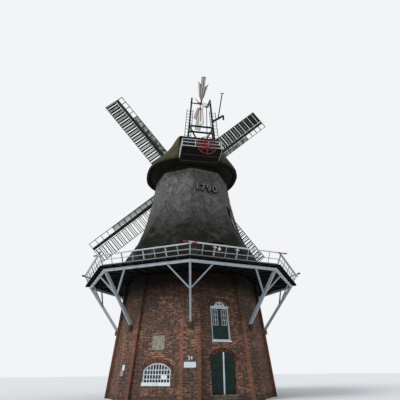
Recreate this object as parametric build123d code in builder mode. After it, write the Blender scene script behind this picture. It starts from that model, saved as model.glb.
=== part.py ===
"""Thatched gallery smock mill: brick base, octagonal smock, turning cap, shuttered sails and fantail.

Millimetres. The mill axis is Z, the ground is z = 0, and the entrance wall faces -Y.
"""
import os
from math import atan, cos, degrees, radians, sin, tan

from build123d import *

os.makedirs("parts", exist_ok=True)

# Octagon
face_count = 8
face_angle = 360 / face_count
apothem_share = cos(radians(face_angle / 2))
half_face_share = tan(radians(face_angle / 2))
joint_gap = 4           # open joint between like pieces that stand side by side

# Brick base
base_corner_radius = 6250   # at the ground, to the sharp corner where two pier faces would meet
base_batter = 0.119         # how much the corner radius shrinks for each mm of height
base_height = 7830
panel_recess = 200          # the wall panels lie this far behind the corner piers
wall_thickness = 600
pier_width = 700
pier_chamfer = 480          # along each face, cut off the corner for the piers' flat fronts
ground_floor_height = 350
upper_floor_height = 3350
floor_thickness = 200

# Entrance
door_sill_height = 370
door_spring_height = 2220
door_crown_height = 2740
door_width = 1600           # both leaves together
door_rebate = 30            # the leaves lap over the masonry opening by this much
door_recess_margin = 80     # the arched recess in front is this much wider on each side
door_plane = 5180           # back wall of the arched recess, measured from the mill axis
leaf_thickness = 45
leaf_gap = 10
hinge_offset = 20           # hinge axis in front of the leaf and in from its edge
hinge_pin_radius = 8
pintle_boss_radius = 12
pintle_gap = 12             # between a pintle's shoulder and the leaf's edge
hinge_clearance = 0.3
hinge_heights = (750, 1950)
strap_width = 50
strap_thickness = 8
strap_length = 560
astragal_width = 70
astragal_thickness = 25

# Upper door over the entrance
upper_door_width = 1300
upper_door_low = 3420
upper_door_high = 5500
frame_width = 80
frame_depth = 120
frame_setback = 60
upper_leaf_thickness = 50

# Ground floor windows
window_width = 1900
window_low = 920
window_spring = 1760
window_crown = 2160
window_faces = (7, 5, 3)
plain_faces = (1, 2, 4, 6)
glass_thickness = 8

# Stone plaque over the window
plaque_size = 870
plaque_height = 3310
plaque_thickness = 40

# Gallery
ring_corner_radius = 8000
ring_height = 160
ring_width = 140
joist_depth = 120
joist_width = 80
joist_pitch = 790
joists_per_side = 7
deck_thickness = 30
deck_corner_radius = 8400
deck_bearing = 190          # the joists reach this far in over the wall head
corner_beam_width = 110

# Struts under the gallery
trim_share = 0.1            # slanted timbers run on by this share before they are trimmed
strut_foot_radius = 5587
strut_foot_height = 4467
strut_width = 130
strut_depth = 200
brace_joint_height = 6281
brace_reach = 1530          # along the ring beam, from its corner
brace_width = 90
shoe_width = 240
shoe_height = 300
shoe_depth = 160

# Gallery railing
rail_foot_inset = 235       # the posts stand this far inside the deck's edge
rail_lean = 25              # degrees outwards
handrail_height = 8711
middle_rail_height = 8365
low_rail_height = 8079
handrail_width = 120
handrail_depth = 80
middle_rail_width = 45
post_width = 70
baluster_width = 35
handrail_lift = 48          # half the step between handrails that cross
post_count = 3              # between the corner posts
post_pitch = 1580
rail_overrun = 420          # handrail ends cross and run on at the corners

# Thatched smock: height over the ground, and the corner radius there
smock_profile = (
    (7980, 5950), (9000, 5800), (9800, 5500), (10550, 5020), (11250, 4530),
    (12300, 4110), (13500, 3780), (15000, 3440), (16960, 3157),
)
smock_top = smock_profile[-1][0]
foot_sections = 5           # the flared foot is thatched apart from the straighter part above it
thatch_thickness = 350
gallery_door_width = 850
gallery_door_height = 1900
gallery_door_plane = 5080
gallery_door_offset = -20
gallery_leaf_thickness = 50
hood_depth = 260
hood_thickness = 50
hood_overhang = 50
hatch_face = 1              # the smock side with the small hatch
hatch_width = 600
hatch_height = 1000
hatch_low = 12850
hatch_offset = -300
hatch_plane = 3370
hatch_thickness = 40

# Cap turning ring
curb_radius = 2930
curb_width = 330
curb_height = 180
curb_clearance = 0.5

# Cap, turned clockwise from +Y as seen from above
cap_yaw = 12.4
cap_rim_height = smock_top + 340
sheer_spacing = 1300        # half the distance between the two long cap beams
sheer_width = 240
sheer_height = cap_rim_height + 130
sheer_front = 3200
sheer_tip_depth = 35
neck_reach = 2950
neck_width = 340
tail_bearing_reach = -950
saddle_depth = 450
cap_wall_thickness = 340
cap_end_bow = 0.24          # how full the sides are next to the flat ends
# Cap outlines: height over the rim, half width at the side, front and back distance, half width of the ends
skirt_sections = (
    (0, 4020, 3620, 3700, 1600),
    (400, 3880, 3620, 3740, 1600),
    (1000, 3120, 3620, 3780, 1600),
    (1600, 2440, 3620, 3820, 1600),
    (2100, 2040, 3620, 3850, 1600),
)
roof_sections = (
    skirt_sections[-1],
    (3100, 1560, 3560, 2000, 1200),
    (3800, 1000, 3500, 0, 600),
    (4300, 350, 3440, -1500, 200),
)
hollow_sections = 3         # the hollow follows this many of the roof outlines
soffit_clearance = 60       # the level boards under the cap stay this far inside its thatch
breast_margin = 150
breast_plane = 3440
breast_clearance = 30
tail_wall_plane = 3600
board_thickness = 35
board_fit = 0.3

# Tail platform and fan stage
platform_height = cap_rim_height + 450
tail_wall_top = platform_height + 1550
platform_reach = 5100
platform_thickness = 60
platform_bearing = 200
tail_half_width = 1600
tail_soffit_start = 3200
tail_soffit_low = cap_rim_height - 100
tail_rail_size = 50
tail_rail_height = 600
fan_stage = 4800            # the fan stands this far behind the mill axis
fan_radius = 2200
fan_low_bar_height = platform_height + 1520
fan_middle_bar_height = fan_low_bar_height + 560
fan_height = fan_middle_bar_height + fan_radius + 110
fan_leg_foot = 1150
fan_leg_head = 770
fan_leg_top = fan_height + 510
fan_leg_width = 130
fan_bar_width = 110
fan_stay_reach = 900
fan_blade_count = 8
fan_blade_width = 620
fan_blade_root = 620
fan_blade_thickness = 20
fan_blade_pitch = -42
fan_phase = 0               # turns a blade to 45 degrees from upright
fan_axle_radius = 45
fan_axle_clearance = 0.3
fan_axle_reach = 900
fan_hub_width = 150
fan_hub_radius = 120
fan_arm_size = 50
fan_blade_root_width = 380
ladder_width = 500
ladder_stile = 45
ladder_shift = 60           # the ladders stand this far outside the legs' middles
ladder_top = platform_height + 2550
rung_pitch = 300
rung_size = 30
drive_across = 500
drive_ahead = 110
drive_radius = 30
drive_top = fan_height - 100
drive_gear_radius = 90
lever_low = platform_height + 2690
lever_high = lever_low + 740
lever_reach = 1900
lever_size = 80
lever_drop = 430
pole_across = 1440
pole_lean = 450
pole_top_height = fan_height + 1420
pole_size = 50
pole_arm = 150

# Sails
shaft_tilt = 10
hub_reach = 4323
hub_height = cap_rim_height + 2219
sail_phase = 41.7           # degrees from the cap's right-hand side, seen from the tail
sail_length = 11220
stock_root_width = 380
stock_tip_width = 250
stock_root_depth = 300
stock_tip_depth = 150
stock_spacing = 400         # between the centres of the two crossing stocks
first_bar = 2050
bay_length = 655
bay_count = 14
bar_width = 55
bar_depth = 70
trailing_width = 1500
leading_width = 660
edge_width = 50
leading_board_bays = 10
leading_board_thickness = 20
flaps_per_bay = 2
flap_width = 275
flap_thickness = 25
flap_angle = 73             # how far the flaps are turned out of the sail's plane
flap_margin = 0.3
rod_size = 30
rod_margin = 55             # between the rod and the stock beside it
shaft_radius = 260
shaft_length = 5600
shaft_clearance = 0.5
canister_size = 640
canister_wall = 50
canister_nose = 350
spider_gap = 400
spider_hub_radius = 180
spider_arm = 60
spider_reach = 1200
spider_rod_radius = 40
crank_reach = 1850

# Chain wheel on the tail
wheel_radius = 790
wheel_rim = 45
wheel_height = platform_height + 50
wheel_offset = 350
wheel_reach = 5250
wheel_hub_radius = 90
wheel_pin_radius = 30
wheel_block_size = 120
wheel_spokes = 8
spoke_width = 45


def corner_radius(height):
    """Distance from the mill axis to the sharp corner in front of a pier."""
    return base_corner_radius - base_batter * height


def pier_apothem(height):
    return corner_radius(height) * apothem_share


def panel_apothem(height):
    return pier_apothem(height) - panel_recess


def inner_apothem(height):
    return panel_apothem(height) - wall_thickness


def outward(azimuth):
    """Unit direction at an azimuth counted from -Y towards +X."""
    return Vector(sin(radians(azimuth)), -cos(radians(azimuth)), 0)


def along(azimuth):
    """Unit direction to the right of somebody who looks at that side from outside."""
    return Vector(cos(radians(azimuth)), sin(radians(azimuth)), 0)


def level(azimuth, height):
    """Level plane whose -Y side faces the azimuth."""
    return Plane(origin=(0, 0, height), x_dir=along(azimuth), z_dir=(0, 0, 1))


def upright(azimuth, distance, height=0):
    """Upright plane that faces outwards at a distance from the mill axis."""
    place = outward(azimuth) * distance + Vector(0, 0, height)
    return Plane(origin=place, x_dir=along(azimuth), z_dir=outward(azimuth))


def octagon(apothem):
    return RegularPolygon(apothem / apothem_share, face_count, rotation=face_angle / 2)


def save(part, label):
    part.label = label
    export_step(part, f"parts/{label}.step")


def joined(solids):
    """One node made of solids that stand apart."""
    return Part() + list(solids)


def largest(part):
    return part.solids().sort_by(SortBy.VOLUME)[-1]


def outline_face(*points):
    with BuildSketch() as sketch:
        with BuildLine():
            Polyline(*points, close=True)
        make_face()
    return sketch.sketch


def arch_face(width, low, spring, crown):
    """Upright opening with a segmental arch, centred on x = 0."""
    half = width / 2
    with BuildSketch() as sketch:
        with BuildLine():
            Polyline((-half, spring), (-half, low), (half, low), (half, spring))
            ThreePointArc((half, spring), (0, crown), (-half, spring))
        make_face()
    return sketch.sketch


def beam(start, end, width, depth, sideways):
    """Straight squared timber from start to end; its depth lies square to sideways."""
    run = end - start
    plane = Plane(origin=start, x_dir=sideways, z_dir=run)
    with BuildPart() as timber:
        with BuildSketch(plane):
            Rectangle(width, depth)
        extrude(amount=run.length)
    return timber.part


# Brick walls: eight battered panels, mitred where they meet behind the corner piers
def wall_panel(index, low=0, high=base_height):
    azimuth = index * face_angle
    with BuildPart() as panel:
        for height in (low, high):
            outer = panel_apothem(height)
            inner = outer - wall_thickness
            half_outer = outer * half_face_share - joint_gap / 2
            half_inner = inner * half_face_share - joint_gap / 2
            with BuildSketch(level(azimuth, height)):
                add(outline_face(
                    (-half_outer, -outer), (half_outer, -outer), (half_inner, -inner), (-half_inner, -inner)))
        loft(ruled=True)
    return panel.part


wall_lean = degrees(atan(base_batter * apothem_share))


def wall_face(index):
    """Plane of a wall panel's outer face, which leans in; its y runs up the slope from the ground."""
    azimuth = index * face_angle
    lean = radians(wall_lean)
    normal = outward(azimuth) * cos(lean) + Vector(0, 0, 1) * sin(lean)
    return Plane(origin=outward(azimuth) * panel_apothem(0), x_dir=along(azimuth), z_dir=normal)


def slope_length(height):
    return height / cos(radians(wall_lean))


def window_shape(margin=0):
    return arch_face(
        window_width - 2 * margin, slope_length(window_low) + margin,
        slope_length(window_spring), slope_length(window_crown) - margin)


def window_wall(index):
    with BuildPart() as wall:
        add(wall_panel(index))
        with BuildSketch(wall_face(index)):
            add(window_shape())
        extrude(amount=wall_thickness * 2, both=True, mode=Mode.SUBTRACT)
    return wall.part


save(joined([window_wall(index) for index in window_faces]), "window_walls")
save(joined([wall_panel(index) for index in plain_faces]), "plain_walls")

entrance_half = door_width / 2 - door_rebate
recess_half = door_width / 2 + door_recess_margin


def entrance_cut():
    """The arched way in, and the wider arched recess that the leaves hang in."""
    with BuildPart() as cut:
        with BuildSketch(upright(0, 0)):
            opening_crown = door_crown_height - door_rebate
            add(arch_face(2 * entrance_half, door_sill_height, door_spring_height, opening_crown))
        extrude(amount=base_corner_radius)
        with BuildSketch(upright(0, door_plane)):
            recess_crown = door_crown_height + door_recess_margin
            add(arch_face(2 * recess_half, door_sill_height, door_spring_height, recess_crown))
        extrude(amount=base_corner_radius)
    return cut.part


way_in = entrance_cut()


def entrance_side(side):
    with BuildPart() as wall:
        add(wall_panel(0, 0, door_spring_height))
        with Locations((side * (entrance_half + base_corner_radius / 2), 0, 0)):
            Box(base_corner_radius, 4 * base_corner_radius, 2 * base_height, mode=Mode.INTERSECT)
        add(way_in, mode=Mode.SUBTRACT)
    return wall.part


save(joined([entrance_side(side) for side in (-1, 1)]), "entrance_side_walls")

with BuildPart() as entrance_wall_above:
    add(wall_panel(0, door_spring_height, base_height))
    add(way_in, mode=Mode.SUBTRACT)
    with BuildSketch(wall_face(0)):
        with Locations((0, slope_length(upper_door_low + upper_door_high) / 2)):
            Rectangle(upper_door_width, slope_length(upper_door_high - upper_door_low))
    extrude(amount=wall_thickness * 2, both=True, mode=Mode.SUBTRACT)
save(entrance_wall_above.part, "entrance_wall_above")

with BuildPart() as entrance_sill:
    add(wall_panel(0, 0, door_sill_height))
    Box(2 * entrance_half - joint_gap, 4 * base_corner_radius, 4 * door_sill_height, mode=Mode.INTERSECT)
save(entrance_sill.part, "entrance_sill")


# Corner piers: battered, flat-fronted piers that lap round the corners in front of the panels
pier_setback = pier_chamfer * sin(radians(face_angle / 2))


def pier_front(index):
    """Plane of a pier's flat front, which leans in as the corner does."""
    azimuth = (index + 0.5) * face_angle
    foot = outward(azimuth) * (corner_radius(0) - pier_setback)
    normal = outward(azimuth) + Vector(0, 0, 1) * base_batter
    return Plane(origin=foot, x_dir=along(azimuth), z_dir=normal)


def corner_pier(index):
    azimuth = (index + 0.5) * face_angle
    with BuildPart() as pier:
        for height in (0, base_height):
            corner = Vector(0, -corner_radius(height))
            inner_corner = Vector(0, -corner_radius(height) + panel_recess / apothem_share)
            right = Vector(apothem_share, sin(radians(face_angle / 2)))
            left = Vector(-right.X, right.Y)
            inward_right = Vector(-right.Y, right.X) * panel_recess
            inward_left = Vector(right.Y, right.X) * panel_recess
            points = (
                corner + right * pier_chamfer, corner + right * pier_width,
                corner + right * pier_width + inward_right, inner_corner,
                corner + left * pier_width + inward_left, corner + left * pier_width,
                corner + left * pier_chamfer)
            with BuildSketch(level(azimuth, height)):
                add(outline_face(*[(point.X, point.Y) for point in points]))
        loft(ruled=True)
    return pier.part


save(joined([corner_pier(index) for index in range(face_count)]), "corner_piers")


# Floors
def floor_slab(top, thickness):
    with BuildPart() as slab:
        for height in (top - thickness, top):
            with BuildSketch(Plane.XY.offset(height)):
                add(octagon(inner_apothem(height)))
        loft(ruled=True)
    return slab.part


save(floor_slab(ground_floor_height, ground_floor_height), "ground_floor")
save(floor_slab(upper_floor_height, floor_thickness), "upper_floor")

deck_height = base_height + joist_depth + deck_thickness
deck_inner = inner_apothem(base_height) + deck_bearing
with BuildPart() as gallery_level_floor:
    with BuildSketch(Plane.XY.offset(base_height)):
        add(octagon(deck_inner - joint_gap))
    extrude(amount=joist_depth + deck_thickness)
save(gallery_level_floor.part, "stage_floor_inside")


# Entrance leaves, hung on pintles so that they open outwards
hinge_x = door_width / 2 - hinge_offset
leaf_back = door_plane + leaf_gap
leaf_front = leaf_back + leaf_thickness
hinge_y = -(leaf_front + hinge_offset)


def door_leaf(side):
    inner_edge = leaf_gap
    with BuildPart() as leaf:
        with BuildSketch(upright(0, leaf_back)):
            add(arch_face(door_width, door_sill_height + leaf_gap, door_spring_height, door_crown_height))
            with Locations((side * (inner_edge + door_width / 2), base_height / 2)):
                Rectangle(door_width, base_height, mode=Mode.INTERSECT)
        extrude(amount=leaf_thickness)
        if side > 0:
            with BuildSketch(upright(0, leaf_front)):
                add(arch_face(door_width, door_sill_height + leaf_gap, door_spring_height, door_crown_height))
                with Locations((inner_edge + astragal_width / 2, base_height / 2)):
                    Rectangle(astragal_width, base_height, mode=Mode.INTERSECT)
            extrude(amount=astragal_thickness)
        for height in hinge_heights:
            eye_low = height + hinge_clearance
            with BuildSketch(upright(0, leaf_front)):
                with Locations((side * (hinge_x - strap_length / 2), eye_low + strap_width / 2)):
                    Rectangle(strap_length, strap_width)
            extrude(amount=strap_thickness)
            with BuildSketch(Plane.XY.offset(eye_low)):
                with Locations((side * hinge_x, hinge_y)):
                    Circle(hinge_offset)
            extrude(amount=strap_width)
            with BuildSketch(Plane.XY.offset(eye_low)):
                with Locations((side * hinge_x, hinge_y)):
                    Circle(hinge_pin_radius + hinge_clearance)
            extrude(amount=strap_width, mode=Mode.SUBTRACT)
    return leaf.part


save(door_leaf(-1), "door_leaf_left")
save(door_leaf(1), "door_leaf_right")


def pintle(side, height):
    """Wrought bracket let into the recess, with an upright pin for the strap's eye."""
    outer = door_width / 2 + 2 * hinge_offset
    inner = door_width / 2 + pintle_gap
    reach = abs(hinge_y) + pintle_boss_radius
    shoulder = hinge_offset
    with BuildPart() as bracket:
        with BuildSketch(Plane.XY.offset(height - shoulder)):
            with Locations((side * (outer + inner) / 2, -(reach + door_plane) / 2)):
                Rectangle(outer - inner, reach - door_plane)
            with Locations((side * (outer + hinge_x) / 2, hinge_y)):
                Rectangle(outer - hinge_x, 2 * pintle_boss_radius)
            with Locations((side * hinge_x, hinge_y)):
                Circle(pintle_boss_radius)
        extrude(amount=shoulder)
        with BuildSketch(Plane.XY.offset(height)):
            with Locations((side * hinge_x, hinge_y)):
                Circle(hinge_pin_radius)
        extrude(amount=strap_width + hinge_pin_radius)
    return bracket.part


save(joined([pintle(side, height) for side in (-1, 1) for height in hinge_heights]), "door_pintles")

# Upper door: a frame in the wall with two fixed leaves behind it
upper_middle = slope_length(upper_door_low + upper_door_high) / 2
upper_tall = slope_length(upper_door_high - upper_door_low)
with BuildPart() as upper_door_frame:
    with BuildSketch(wall_face(0).offset(-frame_setback)):
        with Locations((0, upper_middle)):
            Rectangle(upper_door_width, upper_tall)
            Rectangle(upper_door_width - 2 * frame_width, upper_tall - 2 * frame_width, mode=Mode.SUBTRACT)
    extrude(amount=-frame_depth)
save(upper_door_frame.part, "upper_door_frame")

with BuildPart() as upper_door_leaves:
    leaf_width = upper_door_width / 2 - frame_width - joint_gap / 2
    with BuildSketch(wall_face(0).offset(-frame_setback - (frame_depth - upper_leaf_thickness) / 2)):
        for side in (-1, 1):
            with Locations((side * (leaf_width + joint_gap) / 2, upper_middle)):
                Rectangle(leaf_width, upper_tall - 2 * frame_width)
    extrude(amount=-upper_leaf_thickness)
save(upper_door_leaves.part, "upper_door_leaves")


# Ground floor windows
def window_frame(index):
    with BuildPart() as frame:
        with BuildSketch(wall_face(index).offset(-frame_setback)):
            add(window_shape())
            add(window_shape(frame_width), mode=Mode.SUBTRACT)
        extrude(amount=-frame_depth)
    return frame.part


def window_glass(index):
    with BuildPart() as glass:
        with BuildSketch(wall_face(index).offset(-frame_setback - frame_depth / 2)):
            add(window_shape(frame_width))
        extrude(amount=-glass_thickness)
    return glass.part


save(joined([window_frame(index) for index in window_faces]), "window_frames")
save(joined([window_glass(index) for index in window_faces]), "window_glass")

with BuildPart() as stone_plaque:
    with BuildSketch(wall_face(7)):
        with Locations((0, slope_length(plaque_height))):
            Rectangle(plaque_size, plaque_size)
    extrude(amount=plaque_thickness)
save(stone_plaque.part, "stone_plaque")

# Gallery: ring beam, joists with their deck boards, corner beams
ring_apothem = ring_corner_radius * apothem_share
deck_apothem = deck_corner_radius * apothem_share
ring_low = base_height - ring_height


def ring_beam(index):
    outer = ring_apothem + ring_width / 2
    inner = ring_apothem - ring_width / 2
    half_outer = outer * half_face_share - joint_gap / 2
    half_inner = inner * half_face_share - joint_gap / 2
    with BuildPart() as part:
        with BuildSketch(level(index * face_angle, ring_low)):
            add(outline_face(
                (-half_outer, -outer), (half_outer, -outer), (half_inner, -inner), (-half_inner, -inner)))
        extrude(amount=ring_height)
    return part.part


def deck_side(index):
    """Joists of one side and the boards that are nailed to them."""
    azimuth = index * face_angle
    half_outer = deck_apothem * half_face_share - joint_gap / 2
    half_inner = deck_inner * half_face_share - joint_gap / 2
    beam_clear = (corner_beam_width / 2 + joint_gap) / apothem_share
    with BuildPart() as deck:
        with BuildSketch(level(azimuth, base_height + joist_depth)):
            add(outline_face(
                (-half_outer, -deck_apothem), (half_outer, -deck_apothem),
                (half_inner, -deck_inner), (-half_inner, -deck_inner)))
        extrude(amount=deck_thickness)
        with BuildSketch(level(azimuth, base_height)):
            with Locations((0, -(deck_apothem + deck_inner) / 2)):
                with GridLocations(joist_pitch, 1, joists_per_side, 1):
                    Rectangle(joist_width, deck_apothem - deck_inner)
            add(outline_face(
                (-half_outer + beam_clear, -deck_apothem), (half_outer - beam_clear, -deck_apothem),
                (half_inner - beam_clear, -deck_inner), (-half_inner + beam_clear, -deck_inner)),
                mode=Mode.INTERSECT)
        extrude(amount=joist_depth)
    return deck.part


def corner_beam(index):
    with BuildPart() as timber:
        with BuildSketch(level((index + 0.5) * face_angle, base_height)):
            with Locations((0, -(deck_corner_radius + deck_inner / apothem_share) / 2)):
                Rectangle(corner_beam_width, deck_corner_radius - deck_inner / apothem_share)
        extrude(amount=joist_depth)
    return timber.part


save(joined([ring_beam(index) for index in range(face_count)]), "gallery_ring_beam")
save(joined([deck_side(index) for index in range(face_count)]), "gallery_deck")
save(joined([corner_beam(index) for index in range(face_count)]), "gallery_corner_beams")


# Struts, their side braces and the shoes they stand on
def at(azimuth, radius, height):
    return outward(azimuth) * radius + Vector(0, 0, height)


def strut(index):
    """Leaning timber whose foot is cut to the pier's front."""
    azimuth = (index + 0.5) * face_angle
    foot = at(azimuth, strut_foot_radius, strut_foot_height)
    head = at(azimuth, ring_corner_radius, base_height)
    with BuildPart() as timber:
        add(beam(foot, head + (head - foot) * trim_share, strut_width, strut_depth, along(azimuth)))
        split(bisect_by=Plane.XY.offset(ring_low), keep=Keep.BOTTOM)
        split(bisect_by=Plane.XY.offset(strut_foot_height), keep=Keep.TOP)
        split(bisect_by=pier_front(index), keep=Keep.TOP)
    return timber.part


def brace(index, side, strut_part):
    azimuth = (index + 0.5) * face_angle
    rise = (brace_joint_height - strut_foot_height) / (base_height - strut_foot_height)
    foot = at(azimuth, strut_foot_radius, strut_foot_height)
    head = at(azimuth, ring_corner_radius, base_height)
    joint = foot + (head - foot) * rise
    face_direction = along(azimuth + side * face_angle / 2) * side
    top = at(azimuth, ring_corner_radius, ring_low) + face_direction * brace_reach
    over = top + (top - joint) * trim_share
    with BuildPart() as timber:
        add(beam(joint, over, brace_width, brace_width, along(azimuth)))
        split(bisect_by=Plane.XY.offset(ring_low), keep=Keep.BOTTOM)
        add(strut_part, mode=Mode.SUBTRACT)
    return timber.part


def strut_shoe(index):
    azimuth = (index + 0.5) * face_angle
    low = strut_foot_height - shoe_height
    with BuildPart() as shoe:
        with BuildSketch(level(azimuth, low)):
            with Locations((0, -strut_foot_radius)):
                Rectangle(shoe_width, shoe_depth * 2)
        extrude(amount=shoe_height)
        split(bisect_by=pier_front(index), keep=Keep.TOP)
    return shoe.part


struts = [strut(index) for index in range(face_count)]
braces = [brace(index, side, struts[index]) for index in range(face_count) for side in (-1, 1)]
shoes = [strut_shoe(index) for index in range(face_count)]
save(joined(struts), "gallery_struts")
save(joined(braces), "strut_braces")
save(joined(shoes), "strut_shoes")


# Railing: leaning posts, two thin rails and handrails that cross each other over the corner posts
rail_apothem = deck_apothem - rail_foot_inset


def rail_distance(height):
    """Distance from the mill axis to the leaning railing at a height."""
    return rail_apothem + tan(radians(rail_lean)) * (height - deck_height)


def rail_plane(index):
    azimuth = index * face_angle
    lean = radians(rail_lean)
    normal = outward(azimuth) * cos(lean) - Vector(0, 0, 1) * sin(lean)
    origin = outward(azimuth) * rail_apothem + Vector(0, 0, deck_height)
    return Plane(origin=origin, x_dir=along(azimuth), z_dir=normal)


def rail_slope(height):
    return (height - deck_height) / cos(radians(rail_lean))


def rail_half_length(height):
    """Half the length of one railing side at a height, up to the mitre with its neighbour."""
    return rail_distance(height) * half_face_share


def railing_side(index):
    """Sides alternate: an even side's handrail passes over the odd side's."""
    top = rail_slope(handrail_height) + (handrail_lift if index % 2 == 0 else -handrail_lift)
    half_length = rail_half_length(handrail_height) + rail_overrun
    with BuildPart() as rail:
        with BuildSketch(rail_plane(index).offset(-handrail_width / 2)):
            with Locations((0, top)):
                Rectangle(2 * half_length, handrail_depth)
        extrude(amount=handrail_width)
        with BuildSketch(rail_plane(index).offset(-post_width / 2)):
            with Locations((0, top / 2)):
                with GridLocations(post_pitch, 1, post_count, 1):
                    Rectangle(post_width, top)
        extrude(amount=post_width)
        with BuildSketch(rail_plane(index).offset(-baluster_width / 2)):
            with Locations((0, top / 2)):
                with GridLocations(post_pitch, 1, post_count + 1, 1):
                    Rectangle(baluster_width, top)
            for height in (middle_rail_height, low_rail_height):
                with Locations((0, rail_slope(height))):
                    Rectangle(2 * rail_half_length(height), middle_rail_width)
        extrude(amount=baluster_width)
    return rail.part


def corner_post(index):
    azimuth = (index + 0.5) * face_angle
    ends = [at(azimuth, rail_distance(height) / apothem_share, height)
            for height in (deck_height - post_width, handrail_height)]
    return beam(ends[0], ends[1], post_width, post_width, along(azimuth))


with BuildPart() as gallery_railing:
    for index in range(face_count):
        add(railing_side(index))
        add(corner_post(index))
    split(bisect_by=Plane.XY.offset(deck_height), keep=Keep.TOP)
save(gallery_railing.part, "gallery_railing")


# Thatched smock: a flared foot and a straighter part above it, each in eight sides
def smock_side(index, sections):
    with BuildPart() as side:
        for height, radius in sections:
            outer = radius * apothem_share
            inner = outer - thatch_thickness
            half_outer = outer * half_face_share - joint_gap / 2
            half_inner = inner * half_face_share - joint_gap / 2
            with BuildSketch(level(index * face_angle, height)):
                add(outline_face(
                    (-half_outer, -outer), (half_outer, -outer), (half_inner, -inner), (-half_inner, -inner)))
        loft(ruled=True)
    return side.part


def doorway(azimuth, offset, low, width, height):
    """Upright cut from the mill axis out through one side."""
    with BuildPart() as cut:
        with BuildSketch(upright(azimuth, 0, low)):
            with Locations((offset, height / 2)):
                Rectangle(width, height)
        extrude(amount=base_corner_radius)
    return cut.part


def leaf(azimuth, offset, low, width, height, plane, thickness):
    """Upright door or hatch that fills its doorway; its front lies in the plane."""
    with BuildPart() as board:
        with BuildSketch(upright(azimuth, plane, low)):
            with Locations((offset, height / 2)):
                Rectangle(width, height)
        extrude(amount=-thickness)
    return board.part


foot_sides = [smock_side(index, smock_profile[:foot_sections]) for index in range(face_count)]
upper_sides = [smock_side(index, smock_profile[foot_sections - 1:]) for index in range(face_count)]
gallery_doorway = (0, gallery_door_offset, deck_height, gallery_door_width, gallery_door_height)
hatchway = (hatch_face * face_angle, hatch_offset, hatch_low, hatch_width, hatch_height)
foot_sides[0] = foot_sides[0] - doorway(*gallery_doorway)
upper_sides[hatch_face] = upper_sides[hatch_face] - doorway(*hatchway)
save(joined(foot_sides), "smock_foot_thatch")
save(joined(upper_sides), "smock_thatch")
save(leaf(*gallery_doorway, gallery_door_plane, gallery_leaf_thickness), "gallery_door")
save(leaf(*hatchway, hatch_plane, hatch_thickness), "smock_hatch")

with BuildPart() as gallery_door_hood:
    hood_low = deck_height + gallery_door_height
    with BuildSketch(upright(0, gallery_door_plane - gallery_leaf_thickness, hood_low)):
        with Locations((gallery_door_offset, hood_thickness / 2)):
            Rectangle(gallery_door_width + 2 * hood_overhang, hood_thickness)
    extrude(amount=hood_depth)
    add(foot_sides[0], mode=Mode.SUBTRACT)
save(largest(gallery_door_hood.part), "gallery_door_hood")

with BuildPart() as smock_curb:
    with BuildSketch(Plane.XY.offset(smock_top)):
        Circle(curb_radius)
        Circle(curb_radius - curb_width, mode=Mode.SUBTRACT)
    extrude(amount=curb_height)
save(smock_curb.part, "smock_curb")


# Cap: everything below is placed in the cap's own frame, head along +Y, and turned with it
head = Vector(sin(radians(cap_yaw)), cos(radians(cap_yaw)), 0)
right_hand = Vector(cos(radians(cap_yaw)), -sin(radians(cap_yaw)), 0)
up = Vector(0, 0, 1)


def cap_level(height):
    return Plane(origin=(0, 0, height), x_dir=right_hand, z_dir=up)


def cap_across(distance, height=0):
    """Upright plane across the cap, seen from the tail; distance counts towards the head."""
    return Plane(origin=head * distance + up * height, x_dir=right_hand, z_dir=-head)


def cap_lengthways(offset):
    """Upright plane along the cap, seen from its right; x runs to the head and y up."""
    return Plane(origin=right_hand * offset, x_dir=head, z_dir=right_hand)


def cap_point(across, lengthways, height):
    return right_hand * across + head * lengthways + up * height


def cap_outline(half_width, front, back, end_half, inset=0):
    """Boat-shaped level outline: flat at the head and the tail, bellied at the sides."""
    half, fore, aft, end = half_width - inset, front - inset, back - inset, end_half - inset / 2
    middle = (fore - aft) / 2
    swell = half - end
    bow = cap_end_bow * (fore + aft) / 2
    with BuildSketch() as sketch:
        with BuildLine():
            Line((-end, fore), (end, fore))
            Spline((end, fore), (half, middle), (end, -aft), tangents=((swell, -bow), (-swell, -bow)))
            Line((end, -aft), (-end, -aft))
            Spline((-end, -aft), (-half, middle), (-end, fore), tangents=((-swell, bow), (swell, bow)))
        make_face()
    return sketch.sketch


def cap_body(roof, inset, drop, base_drop):
    """Solid bounded by the cap outlines; inset and drop give the hollow inside it."""
    with BuildPart() as body:
        for rise, *sizes in skirt_sections:
            low = cap_rim_height + rise - (base_drop if rise == 0 else 0)
            with BuildSketch(cap_level(low)):
                add(cap_outline(*sizes, inset=inset))
        loft()
        for rise, *sizes in roof:
            shift = 0 if rise == roof[0][0] else drop
            with BuildSketch(cap_level(cap_rim_height + rise - shift)):
                add(cap_outline(*sizes, inset=inset))
        loft()
    return body.part


# Opening in the front of the thatch, closed by boards that the windshaft passes through
hub = cap_point(0, hub_reach, hub_height)
shaft_direction = head * cos(radians(shaft_tilt)) + up * sin(radians(shaft_tilt))
sail_up = up * cos(radians(shaft_tilt)) - head * sin(radians(shaft_tilt))


def shaft_plane(offset):
    """Plane square to the windshaft, seen from the tail; offset counts forward from the middle of the hub."""
    return Plane(origin=hub + shaft_direction * offset, x_dir=right_hand, z_dir=-shaft_direction)


def breast_shape(inset):
    """Opening for the breast boards, drawn over the rim."""
    sections = skirt_sections + roof_sections[1:hollow_sections]
    points = [(end - breast_margin - inset, rise) for rise, half, fore, aft, end in sections]
    points[0] = (points[0][0], inset)
    points[-1] = (points[-1][0], points[-1][1] - inset)
    return outline_face(*points, *[(-x, y) for x, y in reversed(points)])


def tail_opening(inset):
    """Opening for the tail boards, drawn over the rim."""
    half = tail_half_width - inset
    top = tail_wall_top - cap_rim_height - inset
    return outline_face((-half, 0), (half, 0), (half, top), (-half, top))


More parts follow.
